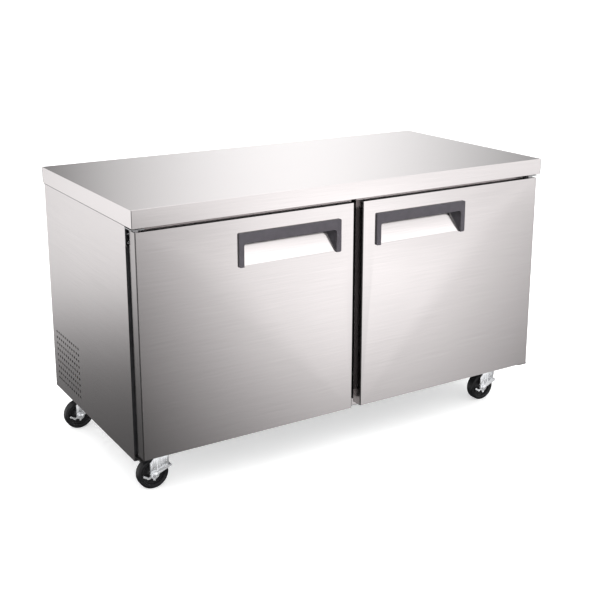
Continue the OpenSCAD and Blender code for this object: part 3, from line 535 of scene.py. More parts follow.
def frame_shade_strips():
    """Black strips on the cabinet's face, from its edge to each door's seal: painted shade standing in for the
    shadow in the gaps beside the doors.
    """
    edge = box_mm("side_panel_left")[0].x
    seal_low, seal_high = box_mm("door_left_gasket")
    skin_low, skin_high = box_mm("door_left_skin")
    leaf, thick = 48, 0.8
    face = seal_high.y + 0.3
    shape = Shape()
    for sign in (-1, 1):
        x0, x1 = sorted((sign * -(edge + 0.3), sign * -(seal_low.x - 1)))
        # painted shade strip on the cabinet's face
        shape.box((x0, face - thick, skin_low.z), (x1, face + 0.1, skin_high.z - leaf), 0.3)
    shape.piece("frame_edge_shade", BODY_OF["front_frame"], "seal")


def worktop_shade_and_beads():
    """Dark strips between the worktop and the cabinet, painted shade standing in for the shadow under the
    worktop's edges, and beads in the corners of its folds.
    """
    low, high = box_mm("side_panel_left")
    far, swell, tall = -low.x, 1.3, 2.4
    shade_band = Shape()
    for sign in (-1, 1):
        x0, x1 = sorted((sign * (far - 0.3), sign * (far + swell)))
        shade_band.box((x0, low.y + 0.5, high.z - tall), (x1, high.y, high.z - 0.05), 0.5)
    # front strip: painted shade in the gap under the worktop's front edge
    shade_band.box((-far, low.y - 2.6, high.z - 6), (far, low.y, high.z - 0.05), 0.8)
    shade_band.piece("worktop_shade_band", BODY_OF["worktop"], "seal")
    (x0, y0, z0), (x1, y1, z1) = box_mm("worktop")
    beads, radius, inset = Shape(), 0.95, 0.45
    for x in (x0 + inset, x1 - inset):
        for y in (y0 + inset, y1 - inset):
            beads.prism(polygon(8, radius, x, y), z0 + 1, z1 - 1.2)
    beads.piece("corner_beads", BODY_OF["worktop"], "seal")


def door_shell(side):
    """Folded skin and the grip, with painted shade: a wide near-black bend on the skin's upright edges, darker
    side faces, and darker flanks on the grip.
    """
    skin, grip = f"door_{side}_skin", f"door_{side}_handle"
    low, high = box_mm(skin)
    shape = softened(skin, 0.01, 1, 170)
    # material 1 is painted shade on the skin's side faces and the grip's flanks; material 2 is painted shade on
    # the upright bends
    shaded_side, bend, near = 1, 2, 0.01

    def on_edge(e):
        a, b = (v.co for v in e.verts)
        upright = abs(a.x - b.x) < near and abs(a.y - b.y) < near
        return upright and abs(a.y - low.y) < near and min(abs(a.x - low.x), abs(a.x - high.x)) < near

    shape.round_off([e for e in shape.bm.edges if on_edge(e)], 3.2, 5, bend)
    shape.round_off([e for e in shape.bm.edges if len(e.link_faces) == 2
                     and e.calc_face_angle(0) > radians(50)], 0.6, 2)
    shape.repaint(shaded_side, lambda normal, at: (
        abs(normal.x) > 0.95 and min(at.x - low.x, high.x - at.x) < 0.1))
    stand_in(shape, skin, f"door_{side}_shell", weighted=True,
             surfaces=("stainless", "stainless_edge", "stainless_bend"))
    shape = softened(grip, 0.9, 3)
    # the grip's sides, top and underside get painted shade
    shape.repaint(shaded_side, lambda normal, at: abs(normal.y) < 0.6)
    stand_in(shape, grip, f"door_{side}_grip", weighted=True,
             surfaces=("handle_plastic", "handle_flank"))


def door_inside(side):
    """Moulded lining with a raised rim and four ribs, and the ribbed seal round it."""
    liner, gasket = f"door_{side}_liner", f"door_{side}_gasket"
    low, high = box_mm(liner)
    (x0, y0, z0), (x1, y1, z1) = box_mm(gasket)
    crest, inner, ribs, margin = high.y, 23.0, 4, 60
    shape = Shape()
    shape.box(low, (high.x, y0, high.z), 0.4)
    shape.repaint(1, lambda normal, at: abs(normal.y) < 0.9)
    rim = [(0, y0 - 1), (0, y0), (1.2, y0 + 2.5), (3.2, crest - 1), (6, crest), (24, crest),
           (27, crest - 1.2), (29, y0 + 2), (31, y0), (31, y0 - 1)]
    left, right, bottom, top = x0 + inner, x1 - inner, z0 + inner, z1 - inner
    shape.surround(left, right, bottom, top, rim)
    for i in range(1, ribs + 1):
        z = bottom + (top - bottom) * i / (ribs + 1)
        wall(shape, capsule((left + margin, z), (right - margin, z), 4), y0 - 0.5, y0 + 1.6, bevel=1.0)
    stand_in(shape, liner, f"door_{side}_lining", surfaces=("white_plastic", "seal"))

    shape = Shape()
    section = [(2, y0), (16, y0), (16.5, y0 + 2), (13.5, y0 + 3), (15.5, y0 + 4.6), (13.5, y0 + 6.2),
               (17, y0 + 7.4), (18.6, y0 + 8.2), (18.6, y1 - 0.6), (17.8, y1), (1.2, y1),
               (0.4, y1 - 0.6), (0.4, y0 + 8.2), (2, y0 + 7.4), (5.5, y0 + 6.2), (3.5, y0 + 4.6),
               (5.5, y0 + 3), (2.5, y0 + 2)]
    shape.surround(x0, x1, z0, z1, section)
    lip, clear, lap = 0.8, 1.0, 4
    low, high = box_mm(f"door_{side}_skin")
    shape.border((low.x + clear, high.x - clear, low.z + clear, high.z - clear),
                 (x0 + lap, x1 - lap, z0 + lap, z1 - lap), y0, y0 + lip)
    stand_in(shape, gasket, f"door_{side}_seal", angle=50)


def wheel(corner):
    """Ringed core with a rounded tread, turned about the axle."""
    node = f"wheel_{corner}"
    low, high = box_mm(node)
    middle = (low + high) / 2
    outer, half = (high.z - low.z) / 2, (high.y - low.y) / 2
    core = [(6.1, half), (14.2, half), (15.4, half - 0.9), (17, half - 4), (19.4, half - 6.6)]
    for ridge in (23.5, 29.0):
        core += [(ridge - 1.2, 9.2), (ridge - 0.4, 10.6), (ridge + 1.2, 10.6), (ridge + 2, 9.2)]
    core += [(33.6, 9.4), (34.6, 12.8), (35.6, half - 1.6), (37.6, half - 1.3), (38.6, half - 2.4)]
    tread = [(38.2, half - 2.6), (39.4, half - 1.6), (40.4, half - 0.4), (42.4, half)]
    tread += [(outer - 7 + 7 * sin(a), half - 7 + 7 * cos(a))
              for a in map(radians, range(6, 91, 12))]
    shape = Shape()
    place = along("Y", middle)
    for paint, part in ((0, tread), (1, core)):
        mirrored = [(r, -h) for r, h in reversed(part)]
        shape.lathe(part + mirrored, place, 72, closed=True, paint=paint)
    stand_in(shape, node, f"caster_wheel_{corner}", angle=30, surfaces=("wheel_black", "wheel_core"))


def fork(corner):
    """Pressed fork with ribbed legs, its kingpin, and the wheel's axle with head and nut."""
    low, high = box_mm(f"wheel_{corner}")
    x, y, axle_z = (low + high) / 2
    stem, crown = x + 30, 112.5
    inside = (high.y - low.y) / 2 + 1.5
    outside = inside + 3
    shape = Shape()
    shape.lathe([(0, -4), (26, -4), (27.6, -3.4), (28.4, -2), (27.8, -0.5), (25, 0), (9, 0), (6, 0),
                 (6, 4.6), (9, 4.6), (9, 8), (0, 8)], along("Z", (stem, y, crown)))
    shape.box((stem - 22, y - outside, crown - 4.2), (stem + 22, y + outside, crown - 0.6), 1.6, 3)
    outline = [(stem - 24, crown - 1), (stem + 22, crown - 1), (stem + 17, crown - 38)]
    outline += [(x + 22, axle_z + 8)]
    outline += [(x + 14 * cos(a), axle_z + 14 * sin(a)) for a in map(radians, range(6, -187, -12))]
    outline += [(x - 14, crown - 24)]
    for face, out in ((y - outside, -1), (y + inside, 1)):
        wall(shape, outline, face, face + 3, bevel=0.7)
        skin = face if out < 0 else face + 3
        near, far = sorted((skin - 0.2 * out, skin + 1.3 * out))
        lip = capsule((x - 11.2, crown - 25), (x - 11.2, axle_z + 8), 2.4)
        ribs = [capsule((x + r, crown - 16), (x + r, foot), 1.8)
                for r, foot in ((-2, 74), (6, 68), (14, 70), (23, 74), (31, 78), (39, 82))]
        for raised_part in [lip] + ribs:
            wall(shape, raised_part, near, far, bevel=0.8)
    head, nut = -outside - 3.4, outside
    shape.lathe([(0, head - 4), (7.4, head - 4), (9, head - 3.2), (9.5, head - 1.8), (9.5, head),
                 (6, head), (6, nut + 4.2), (4.8, nut + 7.4), (0, nut + 7.4)],
                along("Y", (x, y, axle_z)), 36)
    wall(shape, polygon(6, 9, x, axle_z), y + nut, y + nut + 5, bevel=0.6)
    stand_in(shape, f"caster_fork_{corner}", f"fork_{corner}_pressed")


def islands(node):
    """Lowest and highest corner, in millimetres, of each separate solid in a CAD node."""
    bm = bmesh.new()
    bm.from_mesh(NODES[node].data)
    bmesh.ops.remove_doubles(bm, verts=bm.verts, dist=WELD * MM)
    left, found = set(bm.verts), []
    while left:
        front = [left.pop()]
        group = list(front)
        while front:
            near = {e.other_vert(v) for v in front for e in v.link_edges} & left
            left -= near
            group += near
            front = list(near)
        points = [v.co / MM for v in group]
        found.append((Vector(map(min, zip(*points))), Vector(map(max, zip(*points)))))
    bm.free()
    return sorted(found, key=lambda box: tuple(round(v) for v in box[0]))


def fasteners():
    """Cross-headed panel and hinge screws, and the hexagon bolts of the casters."""
    screws, bolts = Shape(), Shape()
    bolt_length, bolt_head, screw_head = 10.5, 5.0, 2.0
    for low, high in islands("fasteners"):
        middle, size = (low + high) / 2, high - low
        if size.z > bolt_length:
            place = along("Z", (middle.x, middle.y, low.z))
            bolts.prism(polygon(6, 7), 0, bolt_head, place, 0.6)
            bolts.lathe([(0, bolt_head), (4, bolt_head), (4, size.z - 1), (3, size.z), (0, size.z)],
                        place, 20)
            continue
        rear = middle.y > 0
        face = high.y - screw_head if rear else low.y + screw_head
        end = -abs((low.y if rear else high.y) - face)
        place = Matrix.Translation((middle.x, face, middle.z)) @ Matrix.Rotation(
            radians(-90 if rear else 90), 4, "X")
        # front screws get the hinges' painted shade
        paint = 0 if rear else 1
        screws.screw_head(place, max(size.x, size.z) / 2, screw_head, paint)
        screws.lathe([(0, -0.3), (2, -0.3), (2, end + 1), (1, end), (0, end)], place, 16, paint=paint)
    stand_in(screws, "fasteners", "panel_screws", angle=30, surfaces=("zinc", "hinge_dark"))
    bolts.piece("caster_bolts", BODY_OF["fasteners"], SLOT_OF["fasteners"], angle=30)


def grille():
    """Louvred sheet: each slot has a pressed hood over it."""
    node = "rear_grille"
    low, high = box_mm(node)
    shape = softened(node, 0.3)
    columns, rows, pitch_x, pitch_z = 6, 9, 225.0, 20.0
    slot_w, slot_h, first_z = 150.0, 7.0, low.z + 37.8
    for i in range(columns):
        for j in range(rows):
            x, z = (i - (columns - 1) / 2) * pitch_x, first_z + j * pitch_z
            top = z + slot_h
            hood = ((-0.2, top + 3.4), (1.6, top + 2.2), (2.9, top - 1.4), (3.3, z + 1.6),
                    (2.5, z + 1.6), (2.1, top - 1.8), (0.9, top + 1.2), (-0.2, top + 2.0))
            shape.prism([(-v, high.y + out) for out, v in hood],
                        x - slot_w / 2 - 1, x + slot_w / 2 + 1, AXES["X"])
    stand_in(shape, node, "louvred_grille", angle=30)


def shelf(node):
    """Coated wire shelf: bent outer bar, middle bar and deck wires welded on top."""
    low, high = box_mm(node)
    bar, wire_r, wires, bend = 3.0, 1.6, 24, 12.0
    z, deck = low.z + bar, high.z - wire_r
    x0, x1, y0, y1 = low.x + bar, high.x - bar, low.y + bar, high.y - bar
    shape = Shape()
    shape.tube([(x, y, z) for x, y in round_cornered(x0, x1, y0, y1, bend)], bar, 14, closed=True)
    shape.tube([(x0, (y0 + y1) / 2, z), (x1, (y0 + y1) / 2, z)], bar, 14)
    for i in range(1, wires + 1):
        x = x0 + (x1 - x0) * i / (wires + 1)
        shape.tube([(x, low.y + 0.5, deck), (x, high.y - 0.5, deck)], wire_r, 10)
    stand_in(shape, node, f"{node}_wires", angle=50)


def half_loop(shape, centre, up, out, radius, paint=0):
    """Return bend: half a ring from centre - up to centre + up, bulging along out."""
    centre, up, out = Vector(centre), Vector(up), Vector(out)
    turn = [pi * i / 12 for i in range(13)]
    shape.tube([centre - up * cos(a) + out * (up.length * sin(a)) for a in turn],
               radius, 12, paint=paint)


def evaporator():
    """Fins on copper tubes between two end plates, with their return bends."""
    (x0, y0, z0), (x1, y1, z1) = box_mm("evaporator_coil")
    plate, pitch, edge, thick = 4.5, 4.0, 4.0, 0.3
    x0, x1 = x0 + 15, x1 - 15
    shape = Shape()
    x = x0 + plate + 1
    while x < x1 - plate - 1:
        shape.box((x, y0 + 2, z0 + 2), (x + thick, y1 - 2, z1 - 2), 0)
        x += pitch
    for a, b, lip in ((x0, x0 + 1, x0 + edge), (x1 - 1, x1, x1 - edge)):
        shape.box((a, y0, z0), (b, y1, z1), 0.3)
        for z in (z0, z1 - 1):
            shape.box((min(a, lip), y0, z), (max(b, lip), y1, z + 1), 0.3)
    half, step, tube_r = 11.0, 44, 4
    centres = [z0 + 28 + step * i for i in range(4)]
    for y in (y1 - 18, y0 + 16):
        for z in centres:
            for s in (-half, half):
                shape.tube([(x0 - 1, y, z + s), (x1 + 1, y, z + s)], tube_r, 10, paint=1)
            half_loop(shape, (x0 - 1, y, z), (0, 0, half), (-1, 0, 0), tube_r, 1)
        for z in centres[:-1]:
            half_loop(shape, (x1 + 1, y, z + step / 2), (0, 0, half), (1, 0, 0), tube_r, 1)
    stand_in(shape, "evaporator_coil", "finned_coil", angle=40, surfaces=("fins", "copper"))


def condenser():
    """Fins, serpentine tube, flanged end plates and the fan's shroud."""
    low, high = box_mm("condenser_coil")
    x0, x1, y0, y1 = low.x, low.x + 56, low.y, high.y - 15
    middle, z0, z1, shroud_x = (x0 + x1) / 2, 140.0, high.z, high.x
    pitch, plate, flange, wall_t = 3.5, 1.5, 12, 1.2
    shape = Shape()
    y = y0 + 4
    while y < y1 - 4:
        shape.box((x0 + 1, y, z0 + 2), (x1 - 1, y + 0.3, z1 - 2), 0)
        y += pitch
    for a, b, lip in ((y0, y0 + plate, y0 + flange), (y1 - plate, y1, y1 - flange)):
        shape.box((x0, a, low.z), (x1, b, z1), 0.4, paint=2)
        for z in (low.z, z1 - plate):
            shape.box((x0, min(a, lip), z), (x1, max(b, lip), z + plate), 0.4, paint=2)
    half, tube_r = 11.0, 4
    for i in range(6):
        z = z0 + 22 + 33 * i
        for s in (-half, half):
            shape.tube([(middle, y0 - 1, z + s), (middle, y1 + 1, z + s)], tube_r, 10, paint=1)
        half_loop(shape, (middle, y1 - 0.5, z), (0, 0, half), (0, 1, 0), tube_r, 1)
    hub = fan_hub("condenser_fan")[0]
    opening = 94.0
    shape.holed_plate(y0, y1, z0, z1, (hub.y, hub.z), opening, shroud_x - wall_t, shroud_x, 2)
    for a0, a1, b0, b1 in ((y0, y0 + wall_t, z0, z1), (y1 - wall_t, y1, z0, z1),
                           (y0, y1, z0, z0 + wall_t), (y0, y1, z1 - wall_t, z1)):
        shape.box((x1, a0, b0), (shroud_x, a1, b1), 0.4, paint=2)
    throat = [(0, -0.2), (3, -0.2), (2, -2), (0.8, -4.5), (0.8, -14), (0, -14)]
    shape.lathe([(opening + r, h) for r, h in throat], along("X", (shroud_x, hub.y, hub.z)), 64,
                closed=True, paint=2)
    stand_in(shape, "condenser_coil", "condenser_block", angle=40,
             surfaces=("fins", "copper", "fan_plastic"))


def rotor(node, name, axis, hub_r, pitch):
    """Fan with a domed hub and five cambered, swept blades."""
    hub, tip = fan_hub(node)
    place = along(axis, hub)
    deep, thick, blades, spans, steps = 16.0, 0.9, 5, 7, 8
    shape = Shape()
    half = deep / 2
    shape.lathe([(3.1, -half), (hub_r - 2, -half), (hub_r, -half + 1.5), (hub_r, half - 3),
                 (hub_r - 1, half - 1), (hub_r - 4, half), (9, half), (8, half + 1), (3.1, half + 1)],
                place, 48, closed=True)
    for k in range(blades):
        layers = ([], [])
        for i in range(spans + 1):
            f = i / spans
            r = hub_r - 1.5 + (tip - hub_r + 1.5) * f
            width = (20 + 22 * sin(pi * (0.12 + 0.62 * f))) * (1 - 0.25 * f ** 6)
            tilt = radians(pitch * (1.15 - 0.45 * f))
            rows = ([], [])
            for j in range(steps + 1):
                u = j / steps - 0.5
                bulge = 0.10 * width * (1 - 4 * u * u)
                turn = 2 * pi * k / blades + 0.35 * f + (
                    u * width * cos(tilt) - bulge * sin(tilt)) / r
                rise = u * width * sin(tilt) + bulge * cos(tilt)
                skin = thick * (1 - 0.6 * abs(2 * u) ** 3)
                for row, side in zip(rows, (-1, 1)):
                    row.append(place @ Vector((r * cos(turn), r * sin(turn), rise + side * skin)))
            for layer, row in zip(layers, rows):
                layer.append(row)
        shape.strip(*layers)
    stand_in(shape, node, name, angle=40)


def spindle(shape, place, tip, root, lead=0.8, **extra):
    """Shaft of 3 mm radius with a chamfered tip, lead long."""
    shape.lathe([(0, tip), (2.4, tip), (3, tip + lead), (3, root), (0, root)], place, 20, **extra)


def fan_motor(shape, axis, centre, start, end, radius):
    """Motor can with ribbed end bells. start is the shaft's side."""
    length = abs(end - start)
    sign = 1 if end > start else -1
    profile = [(0, 0), (6, 0), (6.5, 1.2), (radius * 0.55, 1.6), (radius * 0.8, 2.6),
               (radius - 1.5, 4.2), (radius, 6),
               (radius, length * 0.42), (radius - 1.2, length * 0.42 + 0.5),
               (radius - 1.2, length * 0.58), (radius, length * 0.58 + 0.5), (radius, length - 6),
               (radius - 1.5, length - 3.4), (radius * 0.8, length - 2), (radius * 0.5, length - 0.6),
               (0, length - 0.3)]
    ribbed = [(r, start + sign * h) for r, h in profile]
    turn = along(axis, (centre[0] if axis == "Y" else 0, centre[1] if axis == "X" else 0, centre[2]))
    shape.lathe(ribbed, turn, 72, radius=lambda a, r: r - (0.8 if r > radius * 0.7 and sin(18 * a) > 0.6
                                                             else 0))


def motors():
    """Evaporator and condenser fan motors on their straps."""
    looks = {"angle": 35, "surfaces": ("motor_enamel", "zinc")}
    low, high = box_mm("evaporator_fan_motors")
    shape = Shape()
    for side in SIDES:
        hub = fan_hub(f"evaporator_fan_{side}")[0]
        fan_motor(shape, "Y", hub, low.y + 24, high.y - 2, 30)
        spindle(shape, along("Y", (hub.x, 0, hub.z)), low.y, low.y + 26, paint=1)
        shape.box((hub.x - 10, high.y - 2, hub.z - 60), (hub.x + 10, high.y, high.z), 0.5, paint=1)
        for dz in (-50, 50):
            place = Matrix.Translation((hub.x, high.y - 2, hub.z + dz))
            shape.screw_head(place @ Matrix.Rotation(pi / 2, 4, "X"), 4, 2, 1)
    stand_in(shape, "evaporator_fan_motors", "evaporator_motors", **looks)

    low, high = box_mm("condenser_fan_motor")
    hub = fan_hub("condenser_fan")[0]
    body_x = high.x - 58
    shape = Shape()
    fan_motor(shape, "X", hub, body_x, high.x, 38)
    spindle(shape, along("X", (0, hub.y, hub.z)), low.x, body_x + 2, paint=1)
    strap = [(body_x - 2, body_x, low.z, high.z)]
    for z in (low.z, high.z - 8):
        strap += [(low.x + 32, body_x - 1.5, z, z + 2), (low.x + 32, low.x + 34, z, z + 8)]
    for x0, x1, z0, z1 in strap:
        shape.box((x0, hub.y - 12, z0), (x1, hub.y + 12, z1), 0.5, paint=1)
    shape.box((body_x + 16, hub.y - 11, hub.z + 34), (body_x + 42, hub.y + 11, hub.z + 46),
              2.5, 3, paint=1)
    stand_in(shape, "condenser_fan_motor", "condenser_motor", **looks)


def compressor():
    """Welded shell on a pressed foot with rubber grommets, a terminal cover and pipe stubs."""
    (x0, y0, z0), (x1, y1, z1) = box_mm("compressor")
    shell, half_x, half_y = 85.0, 100.0, 72.0
    cx, cy, foot = (x0 + x1) / 2, y1 - shell, z0 + 17
    weld = foot + 92
    turn = [radians(d) for d in range(0, 91, 9)]
    profile = [(shell * sin(a) * 0.985, foot + 22 - 22 * cos(a)) for a in turn]
    profile += [(shell * 0.985, weld - 3), (shell + 2.5, weld - 2.4), (shell + 3, weld),
                (shell + 2.5, weld + 2.4), (shell + 0.4, weld + 3)]
    profile += [((shell + 0.4) * cos(a), z1 - 58 + 58 * sin(a)) for a in turn]
    shape = Shape()
    shape.lathe(profile, along("Z", (cx, cy, 0)), 72)
    plan = round_cornered(cx - half_x, cx + half_x, cy - half_y, cy + half_y, 14)
    shape.prism(plan, foot - 3, foot + 0.4, None, 0.8)
    for y in (cy - half_y, cy + half_y):
        shape.box((cx - half_x + 16, y - 2, foot - 9), (cx + half_x - 16, y + 2, foot), 0.8)
    for x in (cx - 88, cx + 88):
        for y in (cy - 60, cy + 60):
            shape.lathe([(0, z0), (11, z0), (11.6, z0 + 3), (8.6, z0 + 6), (8.6, z0 + 9),
                         (11.4, z0 + 12), (11, foot - 3), (0, foot - 3)],
                        along("Z", (x, y, 0)), 32, paint=1)
            place = along("Z", (x, y, foot))
            shape.lathe([(0, 0.4), (9, 0.4), (9, 1.8), (4, 1.8), (4, 7), (0, 7)], place, 24, paint=2)
            shape.prism(polygon(6, 6.5), 1.8, 5.6, place, 0.5, paint=2)
    front = cy - shell
    shape.box((cx - 28, y0, foot + 50), (cx + 28, front + 6, foot + 100), 5, 4, paint=1)
    shape.box((cx - 22, y0 - 1.2, foot + 56), (cx + 22, y0 + 4, foot + 94), 2, 3, paint=1)
    clip = ((front + 7, 68), (y0 - 1, 68), (y0 - 1, 82), (front + 7, 82))
    shape.tube([(cx - 30, y, foot + rise) for y, rise in clip], 1.2, 8, 4, paint=2)
    shape.tube([(cx - 46, cy - 62, z1 - 66), (cx - 55, cy - 74, z1 - 64), (cx - 60, cy - 82, z1 - 40)],
               4, 14, 14, paint=3)
    stand_in(shape, "compressor", "compressor_unit", angle=32,
             surfaces=("compressor_enamel", "black_plastic", "zinc", "copper"))


def pipes():
    """Refrigerant tubes with round bends and brazed collars, and the spun copper drier."""
    low, high = box_mm("refrigerant_lines")
    comp_low, comp_high = box_mm("compressor")
    cond_low = box_mm("condenser_coil")[0]
    coil_low, coil_high = box_mm("evaporator_coil")
    dry_low, dry_high = box_mm("filter_drier")
    _, dry_y, dry_z = (dry_low + dry_high) / 2
    shell = 85.0
    cx, cy, down = (comp_low.x + comp_high.x) / 2, comp_high.y - shell, comp_low.z + 97
    lane, coil_x, cond_y, cond_z = low.y + 4, cond_low.x + 28, cond_low.y, 165.0
    riser, ceiling, hot_z, return_y = high.x - 6, 347.0, comp_high.z - 70, 276
    drop, dry_x = cx + shell + 22, dry_low.x - 15
    leave_x, feed_z, return_z = coil_high.x - 16, coil_low.z + 6, coil_low.z + 66
    routes = (
        (4, 18, [(cx + 55, cy - 64, hot_z), (cx + 55, lane, hot_z), (coil_x, lane, hot_z),
                 (coil_x, cond_y, hot_z)]),
        (4, 18, [(coil_x, cond_y, cond_z), (coil_x, lane, cond_z), (dry_x, lane, cond_z),
                 (dry_x, lane, dry_z), (dry_x, dry_y, dry_z), (dry_low.x, dry_y, dry_z)]),
        (2.5, 12, [(dry_high.x, dry_y, dry_z), (riser - 5, dry_y, dry_z), (riser - 5, dry_y, feed_z),
                   (leave_x, dry_y, feed_z)]),
        (6, 20, [(leave_x, return_y, return_z), (riser, return_y, return_z), (riser, return_y, ceiling),
                 (drop, return_y, ceiling), (drop, cy, ceiling), (drop, cy, down),
                 (cx + shell - 3, cy, down)]),
    )
    shape = Shape()
    for radius, bend, points in routes:
        shape.tube(points, radius, 16, bend)
        for end, towards in ((points[0], points[1]), (points[-1], points[-2])):
            way = (Vector(towards) - Vector(end)).normalized()
            shape.tube([Vector(end) + way * 3, Vector(end) + way * 11], radius + 1, 16)
    stand_in(shape, "refrigerant_lines", "copper_lines", angle=50)

    length, body, neck = dry_high.x - dry_low.x, (dry_high.z - dry_low.z) / 2, 5.2
    half = [(0, 0), (5, 0), (neck, 6)]
    half += [(neck + (body - neck) * sin(a), 20 - 14 * cos(a)) for a in map(radians, range(0, 91, 15))]
    half += [(body, 30), (body - 0.8, 31), (body - 0.8, 33), (body, 34)]
    shape = Shape()
    shape.lathe(half + [(r, length - h) for r, h in reversed(half)],
                along("X", (dry_low.x, dry_y, dry_z)), 40)
    stand_in(shape, "filter_drier", "spun_drier", angle=40)


def control_box():
    """Electrical box with its screwed lid, cooling ribs and glands."""
    (x0, y0, z0), (x1, y1, z1) = box_mm("electrical_box")
    lid = z1 - 6
    shape = Shape()
    shape.box((x0 + 3, y0 + 3, z0), (x1 - 3, y1 - 3, lid), 2, 3)
    shape.box((x0, y0, lid), (x1, y1, z1), 1.6, 3)
    for x in (x0 + 12, x1 - 12):
        for y in (y0 + 12, y1 - 12):
            shape.screw_head(along("Z", (x, y, z1 - 0.4)), 4, 1.8, 1)
    for i in range(4):
        z = z0 + 30 + 14 * i
        wall(shape, capsule((x0 + 40, z), (x1 - 40, z), 2.4), y0 + 1.8, y0 + 4, bevel=0.6)
    for x in (x0 + 24, x1 - 24):
        shape.lathe([(0, -7), (4, -7), (6.5, -5), (7, 1), (9, 1), (9, 4), (0, 4)],
                    along("Y", (x, y0, z0 + 16)), 24, paint=2)
    stand_in(shape, "electrical_box", "control_box", surfaces=("box_enamel", "zinc", "black_plastic"))


def cord_gland():
    """Knurled gland with its nut, in the rear grille."""
    low, high = box_mm("power_inlet")
    x, _, z = (low + high) / 2
    skin = high.y - 3.5
    bore, body, flange = 4.5, 11.0, (high.x - low.x) / 2
    shape = Shape()
    shape.lathe([(bore, low.y), (body - 1, low.y), (body, low.y + 1), (body, skin), (flange, skin),
                 (flange, high.y - 1.4), (flange - 1.4, high.y - 0.2), (bore + 2.6, high.y),
                 (bore + 1, high.y - 0.6), (bore, high.y - 2)], along("Y", (x, 0, z)), 60, closed=True,
                radius=lambda a, r: r - (0.7 if r > flange - 0.1 and sin(20 * a) > 0.2 else 0))
    wall(shape, polygon(6, body + 3, x, z), low.y + 8, skin - 1.4, bevel=0.6)
    stand_in(shape, "power_inlet", "cord_gland", angle=30)


def thermostat():
    """Case with ticks round its shaft, and the knurled knob with a grip bar and a pointer."""
    low, high = box_mm("thermostat")
    dial_low, dial_high = box_mm("thermostat_knob")
    x, _, z = (dial_low + dial_high) / 2
    rim, top, back = (dial_high.x - dial_low.x) / 2, dial_low.y, dial_high.y
    face = back + 0.5
    shape = Shape()
    shape.box((low.x, face, low.z), (high.x, high.y, high.z), 3.5, 4)
    spindle(shape, along("Y", (x, 0, z)), low.y, face + 1, 0.6)
    for a in map(radians, range(-30, 211, 30)):
        ends = [(x + r * cos(a), z + r * sin(a)) for r in (18.2, 20.4)]
        wall(shape, capsule(*ends, 0.7, 3), face - 0.35, face + 0.3, paint=1)
    stand_in(shape, "thermostat", "thermostat_case", surfaces=("white_plastic", "black_plastic"))

    shape = Shape()
    shape.lathe([(3.1, back), (rim - 0.5, back), (rim, back - 0.8), (rim - 0.6, back - 2.4),
                 (rim - 3, back - 3.2), (rim - 3.8, top + 7), (rim - 5.2, top + 6), (6, top + 6),
                 (3.1, top + 6)], along("Y", (x, 0, z)), 72, closed=True,
                radius=lambda a, r: r - (0.4 + 0.4 * cos(18 * a) if rim - 4 < r < rim - 2.9 else 0))
    wall(shape, capsule((x, z - rim + 5), (x, z + rim - 5), 2.6), top, top + 6.4, bevel=0.8, segments=3)
    wall(shape, capsule((x, z + 6), (x, z + rim - 5.5), 0.6, 3), top - 0.2, top + 0.6, paint=1)
    stand_in(shape, "thermostat_knob", "dial", surfaces=("black_plastic", "white_plastic"), angle=35)


def leftover_nodes():
    """Every CAD node that is still shown gets its slot's surface."""
    for node, obj in NODES.items():
        obj.data.materials.clear()
        obj.data.materials.append(SURFACES[SLOT_OF[node]])


# ---------------------------------------------------------------- studio

